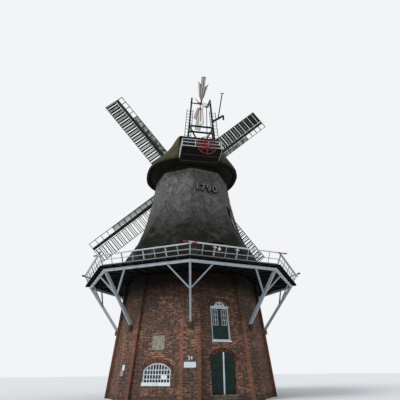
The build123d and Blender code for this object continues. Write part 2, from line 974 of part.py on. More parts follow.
with BuildPart() as cap_thatch:
    add(cap_body(roof_sections, 0, 0, 0))
    hollow_roof = roof_sections[:hollow_sections]
    add(cap_body(hollow_roof, cap_wall_thickness, cap_wall_thickness, joint_gap), mode=Mode.SUBTRACT)
    with BuildSketch(cap_across(breast_plane - cap_wall_thickness, cap_rim_height)):
        add(breast_shape(0))
    extrude(amount=-3 * cap_wall_thickness, mode=Mode.SUBTRACT)
    with BuildSketch(cap_across(-tail_wall_plane + cap_wall_thickness, cap_rim_height)):
        add(tail_opening(0))
    extrude(amount=2 * cap_wall_thickness, mode=Mode.SUBTRACT)
save(cap_thatch.part, "cap_thatch")

with BuildPart() as cap_breast:
    with BuildSketch(cap_across(breast_plane, cap_rim_height)):
        add(breast_shape(board_fit))
    extrude(amount=board_thickness)
    with BuildSketch(shaft_plane(0)):
        Circle(shaft_radius + breast_clearance)
    extrude(amount=shaft_length, mode=Mode.SUBTRACT)
save(cap_breast.part, "cap_breast")

with BuildPart() as cap_tail_wall:
    with BuildSketch(cap_across(-tail_wall_plane, cap_rim_height)):
        add(tail_opening(board_fit))
        Rectangle(4 * tail_half_width, 2 * (platform_height - cap_rim_height), mode=Mode.SUBTRACT)
    extrude(amount=board_thickness)
save(cap_tail_wall.part, "cap_tail_wall")

# Turning curb, the two long sheers and the frames that carry the windshaft
curb_top = smock_top + curb_height + curb_clearance
with BuildPart() as cap_curb:
    with BuildSketch(Plane.XY.offset(curb_top)):
        Circle(curb_radius)
        Circle(curb_radius - curb_width, mode=Mode.SUBTRACT)
    extrude(amount=sheer_height - curb_top)
save(cap_curb.part, "cap_curb")

sheer_top = platform_height - platform_thickness
soffit_slope = (sheer_top - sheer_tip_depth - tail_soffit_low) / (platform_reach - tail_soffit_start)


def soffit_line(reach):
    """Height of the sloping tail boards' upper face at a distance behind the mill axis."""
    return tail_soffit_low + (reach - tail_soffit_start) * soffit_slope


taper_start = tail_soffit_start + (sheer_height - tail_soffit_low) / soffit_slope


def sheer(offset):
    with BuildPart() as timber:
        with BuildSketch(cap_lengthways(offset - sheer_width / 2)):
            add(outline_face(
                (sheer_front, sheer_height), (sheer_front, sheer_top), (-platform_reach, sheer_top),
                (-platform_reach, soffit_line(platform_reach)), (-taper_start, sheer_height)))
        extrude(amount=sheer_width)
    return timber.part


save(joined([sheer(side * sheer_spacing) for side in (-1, 1)]), "cap_sheers")


def shaft_frame(reach, width):
    """Two posts and a cross beam with a half-round saddle for the windshaft."""
    crown = hub_height - (hub_reach - reach) * tan(radians(shaft_tilt))
    with BuildPart() as frame:
        with BuildSketch(cap_across(reach - width / 2)):
            with Locations((0, crown - saddle_depth / 2)):
                Rectangle(2 * sheer_spacing + sheer_width, saddle_depth)
            for side in (-1, 1):
                with Locations((side * sheer_spacing, (crown + sheer_top) / 2 - saddle_depth / 2)):
                    Rectangle(sheer_width, crown - sheer_top - saddle_depth)
        extrude(amount=-width)
        with BuildSketch(shaft_plane(0)):
            Circle(shaft_radius + shaft_clearance)
        extrude(amount=shaft_length * 2, mode=Mode.SUBTRACT)
    return frame.part


shaft_frames = [shaft_frame(reach, neck_width) for reach in (neck_reach, tail_bearing_reach)]
save(joined(shaft_frames), "shaft_frames")

with BuildPart() as cap_soffit:
    with BuildSketch(cap_level(sheer_height - board_thickness)):
        add(cap_outline(*skirt_sections[0][1:], inset=cap_wall_thickness + soffit_clearance))
        Circle(curb_radius + joint_gap, mode=Mode.SUBTRACT)
        with Locations((0, -platform_reach / 2 - tail_soffit_start)):
            Rectangle(4 * tail_half_width, platform_reach, mode=Mode.SUBTRACT)
    extrude(amount=board_thickness)
save(cap_soffit.part, "cap_soffit")

# Tail: sloping boards underneath, side boards, the platform and its railing
with BuildPart() as tail_soffit:
    with BuildSketch(cap_lengthways(-tail_half_width)):
        root = tail_soffit_low
        tip = soffit_line(platform_reach)
        add(outline_face(
            (-tail_soffit_start, root), (-platform_reach, tip),
            (-platform_reach, tip - board_thickness), (-tail_soffit_start, root - board_thickness)))
    extrude(amount=2 * tail_half_width)
save(tail_soffit.part, "tail_soffit")


def side_board(offset):
    wall = skirt_sections[1][3] + 2 * joint_gap
    root = soffit_line(wall) - board_thickness
    tip = soffit_line(platform_reach) - board_thickness
    with BuildPart() as board:
        with BuildSketch(cap_lengthways(offset)):
            add(outline_face(
                (-wall, root), (-wall, platform_height),
                (-platform_reach, platform_height), (-platform_reach, tip)))
        extrude(amount=board_thickness)
    return board.part


side_boards = [side_board(offset) for offset in (tail_half_width, -tail_half_width - board_thickness)]
save(joined(side_boards), "tail_side_boards")

with BuildPart() as tail_platform:
    with BuildSketch(cap_level(sheer_top)):
        with Locations((0, -(tail_wall_plane - platform_bearing + platform_reach) / 2)):
            Rectangle(2 * tail_half_width, platform_reach - tail_wall_plane + platform_bearing)
    extrude(amount=platform_thickness)
save(tail_platform.part, "tail_platform")

rail_half = tail_half_width - tail_rail_size / 2
rail_back = platform_reach - tail_rail_size / 2
rail_front = skirt_sections[1][3] + tail_rail_size
with BuildPart() as tail_railing:
    for height in (tail_rail_height / 2, tail_rail_height - tail_rail_size / 2):
        with BuildSketch(cap_level(platform_height + height - tail_rail_size / 2)):
            with Locations((0, -(rail_front + rail_back) / 2)):
                Rectangle(2 * rail_half + tail_rail_size, rail_back - rail_front + tail_rail_size)
                inner_reach = rail_back - rail_front - tail_rail_size
                Rectangle(2 * rail_half - tail_rail_size, inner_reach, mode=Mode.SUBTRACT)
            with Locations((0, -rail_front)):
                Rectangle(2 * rail_half - tail_rail_size, 2 * tail_rail_size, mode=Mode.SUBTRACT)
        extrude(amount=tail_rail_size)
    with BuildSketch(cap_level(platform_height)):
        for across in (-rail_half, -rail_half / 3, rail_half / 3, rail_half):
            with Locations((across, -rail_back)):
                Rectangle(tail_rail_size, tail_rail_size)
        for across in (-rail_half, rail_half):
            with Locations((across, -rail_front)):
                Rectangle(tail_rail_size, tail_rail_size)
    extrude(amount=tail_rail_height)
save(tail_railing.part, "tail_railing")

# Fan stage: two leaning legs with bars, stays and side ladders
leg_slope = (fan_leg_foot - fan_leg_head) / (fan_leg_top - platform_height)


def leg_across(height):
    """How far a leg's middle stands from the centre line at a height."""
    return fan_leg_foot - (height - platform_height) * leg_slope


def stage_beam(start, end, width, depth):
    """Timber between two (across, behind, height) places, square to the direction along the cap."""
    places = [cap_point(across, -behind, height) for across, behind, height in (start, end)]
    return beam(places[0], places[1], width, depth, head.cross((places[1] - places[0]).normalized()))


with BuildPart() as fan_frame:
    for side in (-1, 1):
        over = fan_leg_width
        foot = (side * leg_across(platform_height - over), fan_stage, platform_height - over)
        top = (side * fan_leg_head, fan_stage, fan_leg_top)
        add(stage_beam(foot, top, fan_leg_width, fan_leg_width))
    for height in (fan_low_bar_height, fan_middle_bar_height):
        half = leg_across(height)
        add(stage_beam((-half, fan_stage, height), (half, fan_stage, height), fan_bar_width, fan_bar_width))
    for side in (-1, 1):
        start = (side * leg_across(fan_middle_bar_height), fan_stage, fan_middle_bar_height)
        add(stage_beam(start, (0, fan_stage, platform_height), fan_bar_width, fan_bar_width / 2))
        stay_top = (side * leg_across(fan_middle_bar_height), fan_stage, fan_middle_bar_height)
        stay_foot = (side * fan_leg_foot, fan_stage - fan_stay_reach, platform_height - fan_leg_width)
        add(stage_beam(stay_top, stay_foot, fan_bar_width, fan_bar_width))
    split(bisect_by=Plane.XY.offset(platform_height), keep=Keep.TOP)
    with BuildSketch(Plane(origin=cap_point(0, -fan_stage, fan_height), x_dir=head, z_dir=right_hand)):
        Circle(fan_axle_radius + fan_axle_clearance)
    extrude(amount=2 * fan_leg_foot, both=True, mode=Mode.SUBTRACT)
save(fan_frame.part, "fan_frame")


def ladder(side):
    """Stiles that lean with the leg just behind it, and rungs across between them."""
    behind = fan_stage + (fan_leg_width + ladder_stile) / 2 + board_fit

    def middle(height):
        return side * (leg_across(height) + ladder_shift)

    with BuildPart() as part:
        for edge in (-ladder_width / 2, ladder_width / 2):
            low = platform_height - ladder_stile
            foot = (middle(low) + edge, behind, low)
            top = (middle(ladder_top) + edge, behind, ladder_top)
            add(stage_beam(foot, top, ladder_stile, ladder_stile))
        for number in range(int((ladder_top - platform_height) / rung_pitch)):
            height = platform_height + (number + 0.5) * rung_pitch
            start = cap_point(middle(height) - ladder_width / 2, -behind, height)
            with BuildSketch(Plane(origin=start, x_dir=head, z_dir=right_hand)):
                Rectangle(rung_size, rung_size)
            extrude(amount=ladder_width)
        split(bisect_by=Plane.XY.offset(platform_height), keep=Keep.TOP)
    return part.part


save(joined([ladder(side) for side in (-1, 1)]), "fan_ladders")

with BuildPart() as fan_drive_shaft:
    with BuildSketch(cap_level(platform_height)):
        with Locations((drive_across, -fan_stage + drive_ahead)):
            Circle(drive_radius)
    extrude(amount=drive_top - platform_height)
    with BuildSketch(cap_level(drive_top)):
        with Locations((drive_across, -fan_stage + drive_ahead)):
            Circle(drive_gear_radius)
    extrude(amount=-drive_gear_radius)
save(fan_drive_shaft.part, "fan_drive_shaft")

# Lever arm on the right-hand leg, with its drop link, and the weather pole on it
lever_start = (leg_across(lever_low), fan_stage, lever_low)
link_top = (lever_reach, fan_stage, lever_high + lever_size / 2)
link_end = (lever_reach, fan_stage, lever_high - lever_drop)
with BuildPart() as fan_lever:
    add(stage_beam(lever_start, (lever_reach, fan_stage, lever_high), lever_size, lever_size))
    add(stage_beam(link_top, link_end, lever_size, lever_size))
    add(fan_frame.part, mode=Mode.SUBTRACT)
save(largest(fan_lever.part), "fan_lever")

lever_slope = (lever_high - lever_low) / (lever_reach - lever_start[0])
pole_foot = (pole_across, fan_stage, lever_low + (pole_across - lever_start[0]) * lever_slope)
pole_top = (pole_across + pole_lean, fan_stage, pole_top_height)
arm_ends = [(pole_top[0] + side * pole_arm, fan_stage, pole_top_height) for side in (-1, 1)]
with BuildPart() as weather_pole:
    add(stage_beam(pole_foot, pole_top, pole_size, pole_size))
    add(stage_beam(arm_ends[0], arm_ends[1], pole_size, pole_size))
    add(fan_lever.part, mode=Mode.SUBTRACT)
save(largest(weather_pole.part), "weather_pole")


# Fantail: an axle with eight arms, and a pitched blade on each arm
def fan_radial(number, rise=0):
    """Plane across an arm at a distance from the axle; its x follows the blade's pitched width."""
    angle = radians(number * 360 / fan_blade_count + fan_phase)
    outwards = up * cos(angle) - head * sin(angle)
    around = outwards.cross(right_hand)
    width = around * cos(radians(fan_blade_pitch)) - right_hand * sin(radians(fan_blade_pitch))
    return Plane(origin=cap_point(0, -fan_stage, fan_height) + outwards * rise, x_dir=width, z_dir=outwards)


def fan_plane(across):
    """Plane square to the fan's axle, at a distance to the right of the cap's middle."""
    return Plane(origin=cap_point(across, -fan_stage, fan_height), x_dir=head, z_dir=right_hand)


with BuildPart() as fan_hub:
    with BuildSketch(fan_plane(-fan_axle_reach)):
        Circle(fan_axle_radius)
    extrude(amount=2 * fan_axle_reach)
    with BuildSketch(fan_plane(-fan_hub_width / 2)):
        Circle(fan_hub_radius)
    extrude(amount=fan_hub_width)
    for number in range(fan_blade_count):
        with BuildSketch(fan_radial(number)):
            Rectangle(fan_arm_size, fan_arm_size)
        extrude(amount=fan_radius - fan_arm_size)
save(fan_hub.part, "fan_hub")


def fan_blade(number):
    with BuildPart() as blade:
        for rise, width in ((fan_blade_root, fan_blade_root_width), (fan_radius, fan_blade_width)):
            with BuildSketch(fan_radial(number, rise)):
                with Locations((0, (fan_arm_size + fan_blade_thickness) / 2)):
                    Rectangle(width, fan_blade_thickness)
        loft(ruled=True)
    return blade.part


save(joined([fan_blade(number) for number in range(fan_blade_count)]), "fan_blades")

# Chain wheel behind the platform, on an axle that a block on the platform holds
wheel_origin = cap_point(wheel_offset, -wheel_reach, wheel_height)
with BuildPart() as chain_wheel:
    with BuildSketch(Plane(origin=wheel_origin + head * wheel_rim / 2, x_dir=right_hand, z_dir=-head)):
        Circle(wheel_radius)
        Circle(wheel_radius - wheel_rim, mode=Mode.SUBTRACT)
        with PolarLocations(wheel_radius / 2, wheel_spokes):
            Rectangle(wheel_radius - wheel_rim, spoke_width)
        Circle(wheel_hub_radius)
        Circle(wheel_pin_radius + fan_axle_clearance, mode=Mode.SUBTRACT)
    extrude(amount=wheel_rim)
save(chain_wheel.part, "chain_wheel")

with BuildPart() as chain_wheel_block:
    with BuildSketch(cap_level(platform_height)):
        with Locations((wheel_offset, -platform_reach + tail_rail_size + wheel_block_size)):
            Rectangle(wheel_block_size, wheel_block_size)
    extrude(amount=wheel_height - platform_height + wheel_block_size / 2)
    with BuildSketch(cap_across(-platform_reach + tail_rail_size + wheel_block_size)):
        with Locations((wheel_offset, wheel_height)):
            Circle(wheel_pin_radius)
    extrude(amount=wheel_reach - platform_reach + tail_rail_size + wheel_block_size + wheel_rim)
    with BuildSketch(cap_across(-wheel_reach + wheel_rim / 2 + fan_axle_clearance)):
        with Locations((wheel_offset, wheel_height)):
            Circle(wheel_hub_radius / 2)
    extrude(amount=-(wheel_reach - platform_reach))
save(chain_wheel_block.part, "chain_wheel_block")


# Windshaft, canister and the two crossing stocks
def sail_plane(number, offset):
    """Plane of one sail: x runs out along its stock, and +Y is the shuttered side."""
    angle = radians(sail_phase + 90 * number)
    arm = right_hand * cos(angle) + sail_up * sin(angle)
    return Plane(origin=hub + shaft_direction * offset, x_dir=arm, z_dir=-shaft_direction)


def stock_offset(number):
    return stock_spacing / 2 if number % 2 == 1 else -stock_spacing / 2


def stock_half(number):
    """One tapered half of a stock, from the middle of the hub out to the tip."""
    place = sail_plane(number, stock_offset(number))
    root = (0, stock_root_width, stock_root_depth)
    tip = (sail_length, stock_tip_width, stock_tip_depth)
    with BuildPart() as half:
        for reach, width, depth in (root, tip):
            origin = place.origin + place.x_dir * reach
            with BuildSketch(Plane(origin=origin, x_dir=place.y_dir, z_dir=place.x_dir)):
                Rectangle(width, depth)
        loft(ruled=True)
    return half.part


def sail_frame(number):
    """Crossbars through the stock, tied by a long lath at each edge."""
    bars_width = trailing_width + leading_width
    with BuildPart() as frame:
        with BuildSketch(sail_plane(number, stock_offset(number) + bar_depth / 2)):
            for bar in range(bay_count + 1):
                with Locations((first_bar + bar * bay_length, (trailing_width - leading_width) / 2)):
                    Rectangle(bar_width, bars_width)
            for edge in (trailing_width - edge_width / 2, edge_width / 2 - leading_width):
                with Locations((first_bar + bay_count * bay_length / 2, edge)):
                    Rectangle(bay_count * bay_length + bar_width, edge_width)
        extrude(amount=bar_depth)
    return frame.part


def shutters(number):
    """Flaps in each bay, tilted together by one long rod on the windward side."""
    angle = radians(flap_angle)
    low = stock_root_width / 2 + flap_margin
    high = trailing_width - edge_width - flap_margin
    flap_pitch = (bay_length - bar_width) / flaps_per_bay
    swing = flap_width / 2 * sin(angle)
    place = sail_plane(number, stock_offset(number))
    flap_direction = place.x_dir * cos(angle) + place.z_dir * sin(angle)
    with BuildPart() as flaps:
        for bay in range(bay_count):
            for flap in range(flaps_per_bay):
                reach = first_bar + bay * bay_length + bar_width / 2 + (flap + 0.5) * flap_pitch
                centre = place.origin + place.x_dir * reach + place.y_dir * low
                with BuildSketch(Plane(origin=centre, x_dir=flap_direction, z_dir=place.y_dir)):
                    Rectangle(flap_width, flap_thickness)
                extrude(amount=high - low)
        with BuildSketch(sail_plane(number, stock_offset(number) + swing + rod_size / 2)):
            with Locations((first_bar + bay_count * bay_length / 2, low + rod_margin)):
                Rectangle(bay_count * bay_length - bar_width, rod_size)
        extrude(amount=rod_size)
    return flaps.part


def leading_board(number):
    length = leading_board_bays * bay_length - joint_gap
    width = leading_width - stock_root_width / 2 - joint_gap
    with BuildPart() as board:
        with BuildSketch(sail_plane(number, stock_offset(number) + bar_depth / 2 + leading_board_thickness)):
            with Locations((first_bar + length / 2, -leading_width + width / 2)):
                Rectangle(length, width)
        extrude(amount=leading_board_thickness)
    return board.part


sail_count = 4
halves = [stock_half(number) for number in range(sail_count)]
frames = [sail_frame(number) for number in range(sail_count)]
for name, first in (("inner_stock", 0), ("outer_stock", 1)):
    with BuildPart() as stock:
        add(halves[first])
        add(halves[first + 2])
        add(frames[first], mode=Mode.SUBTRACT)
        add(frames[first + 2], mode=Mode.SUBTRACT)
    save(stock.part, name)
save(joined(frames), "sail_frames")
save(joined([shutters(number) for number in range(sail_count)]), "sail_shutters")
save(joined([leading_board(number) for number in range(sail_count)]), "leading_boards")

with BuildPart() as windshaft:
    with BuildSketch(shaft_plane(canister_size / 2 + canister_wall)):
        with Locations(Rotation(0, 0, sail_phase)):
            Rectangle(canister_size, canister_size)
    extrude(amount=canister_size + 2 * canister_wall)
    with BuildSketch(shaft_plane(canister_size / 2 + canister_wall)):
        Circle(shaft_radius)
    extrude(amount=-canister_nose)
    with BuildSketch(shaft_plane(-canister_size / 2 - canister_wall)):
        Circle(shaft_radius)
    extrude(amount=shaft_length)
    for half in halves:
        add(half, mode=Mode.SUBTRACT)
save(windshaft.part, "windshaft")

with BuildPart() as striking_spider:
    with BuildSketch(shaft_plane(canister_size / 2 + canister_wall + canister_nose + spider_gap)):
        Circle(spider_hub_radius)
        with Locations(Rotation(0, 0, sail_phase)):
            Rectangle(2 * spider_reach, spider_arm)
            Rectangle(spider_arm, 2 * spider_reach)
    extrude(amount=spider_arm)
    with BuildSketch(shaft_plane(canister_size / 2 + canister_wall + canister_nose)):
        Circle(spider_rod_radius)
    extrude(amount=-spider_gap)
    for number in range(sail_count):
        place = sail_plane(number, 0)
        start = place.origin + place.x_dir * (spider_reach - spider_arm / 2) + shaft_direction * (
            canister_size / 2 + canister_wall + canister_nose + spider_gap - spider_arm / 2)
        end = place.origin + place.x_dir * crank_reach + shaft_direction * stock_offset(number)
        add(beam(start, end, spider_arm, spider_arm, place.y_dir))
    for half in halves:
        add(half, mode=Mode.SUBTRACT)
save(largest(striking_spider.part), "striking_spider")
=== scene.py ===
import math
import random

import bmesh
import bpy
from mathutils import Matrix, Vector


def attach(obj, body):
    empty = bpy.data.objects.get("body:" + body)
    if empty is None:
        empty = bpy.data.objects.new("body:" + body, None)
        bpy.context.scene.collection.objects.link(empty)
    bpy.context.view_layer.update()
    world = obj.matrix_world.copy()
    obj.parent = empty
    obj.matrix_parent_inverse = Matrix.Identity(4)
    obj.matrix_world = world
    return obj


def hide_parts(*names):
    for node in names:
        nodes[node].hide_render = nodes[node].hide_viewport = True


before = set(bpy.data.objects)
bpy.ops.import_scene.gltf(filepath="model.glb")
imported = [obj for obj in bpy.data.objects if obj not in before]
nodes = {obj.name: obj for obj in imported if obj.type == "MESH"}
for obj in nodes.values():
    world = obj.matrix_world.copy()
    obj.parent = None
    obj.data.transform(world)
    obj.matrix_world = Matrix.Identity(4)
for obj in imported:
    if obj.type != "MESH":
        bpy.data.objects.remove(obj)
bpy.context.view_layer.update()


# Camera
# It stands at eye height on the tail side of the mill, a little left of the entrance, and looks up.
# Place, aim and lens come from fitting the eight-sided base, the gallery, the doors and the sails.
camera_place = Vector((-11.262, -27.967, 1.6))
camera_heading = math.radians(23.376)      # from +Y towards +X
camera_pitch = math.radians(24.616)
camera_roll = math.radians(0.532)
image_size = 400
focal_pixels = 376.0
sensor_width = 36.0
view_reach = 500

camera = bpy.data.objects.new("camera", bpy.data.cameras.new("camera"))
bpy.context.scene.collection.objects.link(camera)
camera.data.sensor_width = sensor_width
camera.data.lens = focal_pixels / image_size * sensor_width
camera.data.clip_end = view_reach
camera.matrix_world = (
    Matrix.Translation(camera_place)
    @ Matrix.Rotation(-camera_heading, 4, "Z")
    @ Matrix.Rotation(math.radians(90) + camera_pitch, 4, "X")
    @ Matrix.Rotation(-camera_roll, 4, "Z")
)
bpy.context.scene.camera = camera
bpy.context.scene.view_settings.view_transform = "Standard"


# Studio
# A pale level floor and an even pale sky round the mill, with one broad soft light from the upper left
# and a weaker one from the right. The camera sees the sky paler than it shines.
def srgb(code):
    """Linear colour of a six-digit hex code."""
    shares = [int(code[place:place + 2], 16) / 255 for place in (0, 2, 4)]
    linear = [share / 12.92 if share <= 0.04045 else ((share + 0.055) / 1.055) ** 2.4 for share in shares]
    return (*linear, 1.0)


def add_node(tree, kind, inputs=None, **settings):
    """Adds a node. An input given a node or an output is linked to it, and any other value is set."""
    node = tree.nodes.new("ShaderNode" + kind)
    for name, value in settings.items():
        setattr(node, name, value)
    for key, value in (inputs or {}).items():
        if isinstance(value, bpy.types.Node):
            value = next(output for output in value.outputs if output.enabled)
        if isinstance(value, bpy.types.NodeSocket):
            tree.links.new(value, node.inputs[key])
        else:
            node.inputs[key].default_value = value
    return node


floor_size = 400
floor_colour = "e2e3e4"
floor_roughness = 0.9
sky_colour = "f2f4f6"          # as the camera and glossy pieces see it
skylight_colour = "eaf0f6"     # as it lights the mill
sky_strength = 0.62

bpy.ops.object.select_all(action="DESELECT")
bpy.ops.mesh.primitive_grid_add(x_subdivisions=8, y_subdivisions=8, size=floor_size)
floor = bpy.context.object
floor.name = "floor"
floor_material = bpy.data.materials.new("floor")
floor_material.use_nodes = True
floor_shader = floor_material.node_tree.nodes["Principled BSDF"]
floor_shader.inputs["Base Color"].default_value = srgb(floor_colour)
floor_shader.inputs["Roughness"].default_value = floor_roughness
floor.data.materials.append(floor_material)

world = bpy.data.worlds.new("sky")
world.use_nodes = True
bpy.context.scene.world = world
sky_tree = world.node_tree
sky_tree.nodes.clear()
ray = add_node(sky_tree, "LightPath")
shining = add_node(sky_tree, "Background", {"Color": srgb(skylight_colour), "Strength": sky_strength})
seen = add_node(sky_tree, "Background", {"Color": srgb(sky_colour), "Strength": 1.0})
glossy = add_node(sky_tree, "Math", {0: ray.outputs["Is Camera Ray"], 1: ray.outputs["Is Glossy Ray"]},
                  operation="MAXIMUM")
through = add_node(sky_tree, "Math", {0: glossy, 1: ray.outputs["Is Transmission Ray"]}, operation="MAXIMUM")
sky_mix = add_node(sky_tree, "MixShader", {0: through, 1: shining, 2: seen})
add_node(sky_tree, "OutputWorld", {"Surface": sky_mix})

lamps = (("key_light", 2.0, 25, (52, 0, -72)), ("fill_light", 0.2, 60, (60, 0, 95)))
for name, strength, spread, turn in lamps:
    lamp = bpy.data.objects.new(name, bpy.data.lights.new(name, "SUN"))
    lamp.data.energy = strength
    lamp.data.angle = math.radians(spread)
    lamp.rotation_euler = [math.radians(angle) for angle in turn]
    bpy.context.scene.collection.objects.link(lamp)


# Brick base
# Coal-burnt bricks, from near-black clinkers to orange stock bricks, laid in grey lime mortar. Eight
# battered panels stand back between the corner piers. The top courses are painted nearly black: the
# gallery's shadow, with the damp of its drip. A warmer band runs round at the height of the plaque.
brick_length = 0.24            # with its joint
course_height = 0.075
joint_width = 0.011
corner_radius = 6.25
corner_batter = 0.119
half_corner = math.radians(22.5)
pier_arm = 0.7
panel_recess = 0.2
wall_tones = ((0.0, "1a1412"), (0.28, "38271f"), (0.55, "553628"), (0.8, "7c4a34"), (1.0, "a1755e"))
# Painted shade: the piers' tones are a little darker than the walls', as the piers face the light.
pier_shade_tones = ((0.0, "19120f"), (0.28, "34241d"), (0.55, "4f3326"), (0.8, "754731"), (1.0, "9a6f57"))
step_tones = ((0.0, "4a3f36"), (0.4, "6f6252"), (1.0, "93866f"))


def new_material(name, roughness, gloss=0.12):
    """An empty material, its tree and its shader. Weathered, porous surfaces reflect very little."""
    material = bpy.data.materials.new(name)
    material.use_nodes = True
    shader = material.node_tree.nodes["Principled BSDF"]
    shader.inputs["Roughness"].default_value = roughness
    shader.inputs["Specular IOR Level"].default_value = gloss
    return material, material.node_tree, shader


def set_tones(colours, tones):
    """Puts colours at their places on a colour ramp."""
    elements = colours.color_ramp.elements
    while len(elements) < len(tones):
        elements.new(0.5)
    for element, (position, code) in zip(elements, tones):
        element.position = position
        element.color = srgb(code)


def finish(tree, shader, colour, height=None, strength=0.3, distance=0.004):
    """Gives the shader its colour and, from a height, its fine relief."""
    tree.links.new(colour, shader.inputs["Base Color"])
    if height is not None:
        bump = add_node(tree, "Bump", {"Height": height, "Strength": strength, "Distance": distance})
        tree.links.new(bump.outputs[0], shader.inputs["Normal"])


def brickwork(name, tones, joint, orange_arms=False):
    """Fired clay: matt and sandy, every brick with a tone of its own, the joints a little hollow."""
    material, tree, shader = new_material(name, 0.88)
    place = add_node(tree, "TexCoord")
    spot = add_node(tree, "SeparateXYZ", {0: place.outputs["Object"]})
    facing = add_node(tree, "SeparateXYZ", {0: place.outputs["Normal"]})
    height = spot.outputs["Z"]
    first = add_node(tree, "Math", {0: spot.outputs["Y"], 1: facing.outputs["X"]}, operation="MULTIPLY")
    second = add_node(tree, "Math", {0: spot.outputs["X"], 1: facing.outputs["Y"]}, operation="MULTIPLY")
    along = add_node(tree, "Math", {0: first, 1: second}, operation="SUBTRACT")
    flat = add_node(tree, "CombineXYZ", {"X": along, "Y": height})
    bricks = add_node(tree, "TexBrick", {
        "Vector": flat, "Color1": (0, 0, 0, 1), "Color2": (1, 1, 1, 1), "Mortar": (0.5, 0.5, 0.5, 1),
        "Scale": 1.0, "Mortar Size": joint_width, "Mortar Smooth": 0.15, "Bias": 0.0,
        "Brick Width": brick_length, "Row Height": course_height}, offset=0.5, squash=0.5, squash_frequency=2)
    broad = add_node(tree, "TexNoise", {
        "Vector": place.outputs["Object"], "Scale": 0.55, "Detail": 6.0, "Roughness": 0.6})
    speckle = add_node(tree, "TexNoise", {
        "Vector": place.outputs["Object"], "Scale": 7.5, "Detail": 2.0, "Roughness": 0.7})
    uneven = add_node(tree, "Mix", {0: 0.42, 2: broad, 3: speckle}, data_type="FLOAT")
    patches = add_node(tree, "MapRange", {
        "Value": uneven.outputs[0], "From Min": 0.36, "From Max": 0.64, "To Min": -0.36, "To Max": 0.3})
    band_low = add_node(tree, "MapRange", {
        "Value": height, "From Min": 1.9, "From Max": 3.2, "To Min": -0.04, "To Max": 0.12},
        interpolation_type="SMOOTHSTEP")
    band_high = add_node(tree, "MapRange", {
        "Value": height, "From Min": 4.1, "From Max": 5.0, "To Min": 0.0, "To Max": -0.17},
        interpolation_type="SMOOTHSTEP")
    band = add_node(tree, "Math", {0: band_low, 1: band_high}, operation="ADD")
    shift = add_node(tree, "Math", {0: patches, 1: band}, operation="ADD")
    tone = add_node(tree, "Math", {0: bricks.outputs["Color"], 1: shift}, operation="ADD", use_clamp=True)
    colours = add_node(tree, "ValToRGB", {"Fac": tone})
    set_tones(colours, tones)
    colour = colours.outputs["Color"]
    if orange_arms:
        half_face = add_node(tree, "Math", {
            0: height, 1: -corner_batter * math.sin(half_corner),
            2: corner_radius * math.sin(half_corner) - pier_arm}, operation="MULTIPLY_ADD")
        sideways = add_node(tree, "Math", {0: along}, operation="ABSOLUTE")
        inside = add_node(tree, "Math", {0: sideways, 1: half_face}, operation="SUBTRACT")
        arm = add_node(tree, "MapRange", {"Value": inside, "From Min": -0.06, "From Max": 0.0})
        fade = add_node(tree, "MapRange", {
            "Value": height, "From Min": 5.4, "From Max": 3.4, "To Min": 0.0, "To Max": 0.7})
        share = add_node(tree, "Math", {0: arm, 1: fade}, operation="MULTIPLY")
        worn = add_node(tree, "Math", {0: share, 1: broad}, operation="MULTIPLY")
        colour = add_node(tree, "Mix", {0: worn, 6: colour, 7: srgb("ab5f3b")}, data_type="RGBA")
    jointed = add_node(tree, "Mix", {0: bricks.outputs["Fac"], 6: colour, 7: srgb(joint)}, data_type="RGBA")
    # Painted shadow of the gallery, with the damp of its drip: the top courses darken nearly to black.
    gallery_shade_and_drip = add_node(tree, "MapRange", {
        "Value": height, "From Min": 5.7, "From Max": 7.35, "To Min": 0.0, "To Max": 0.96},
        interpolation_type="SMOOTHSTEP")
    shade_and_drip_mix = add_node(tree, "Mix", {0: gallery_shade_and_drip, 6: jointed, 7: srgb("15100f")}, data_type="RGBA")
    splash = add_node(tree, "MapRange", {
        "Value": height, "From Min": 0.0, "From Max": 0.55, "To Min": 0.45, "To Max": 0.0})
    finished = add_node(tree, "Mix", {0: splash, 6: shade_and_drip_mix, 7: srgb("332b25")}, data_type="RGBA")
    sand = add_node(tree, "TexNoise", {"Vector": place.outputs["Object"], "Scale": 70.0, "Detail": 3.0})
    relief = add_node(tree, "Math", {0: sand, 1: 0.25, 2: 0.0}, operation="MULTIPLY_ADD")
    hollow = add_node(tree, "Math", {0: relief, 1: bricks.outputs["Fac"]}, operation="SUBTRACT")
    finish(tree, shader, finished.outputs[2], hollow, 0.6, 0.012)
    return material


def dress(material, *node_names):
    """Gives pieces of the frame their finish."""
    for node_name in node_names:
        mesh = nodes[node_name].data
        mesh.materials.clear()
        mesh.materials.append(material)


wall_brick = brickwork("coal_burnt_brick", wall_tones, "6f6259")
dress(wall_brick, "plain_walls", "window_walls", "entrance_side_walls", "entrance_wall_above")
dress(brickwork("pier_brick", pier_shade_tones, "6f6259", orange_arms=True), "corner_piers")
dress(brickwork("worn_step_brick", step_tones, "6f6259"), "entrance_sill")


# Ground floor windows
# Pine frames and glazing bars under lead white, nine panes wide and four high, set in brick openings
# with a segmental arch of bricks on edge and a thick painted sill board. A sheet of paper is stuck
# inside two panes beside the entrance.
window_sides = (7, 5, 3)
window_half = 0.95
window_low = 0.92
window_spring = 1.76
window_crown = 2.16
frame_width = 0.08
bar_width = 0.042
bar_depth = 0.043
bar_out = -0.0965
pane_columns = 9
bar_heights = (1.25, 1.5, 1.755)
bar_edge = 0.008
sill_size = (1.97, 0.15, 0.2)
sill_rise = 0.045
sill_out = -0.045
voussoir_depth = 0.23
voussoir_pitch = 0.076
voussoir_width = 0.062         # at its foot
voussoir_thickness = 0.12
voussoir_out = -0.048
voussoir_taper = 1.12
brick_edge = 0.006
wall_lean = math.atan(corner_batter * math.cos(half_corner))
pier_lean = math.atan(corner_batter)


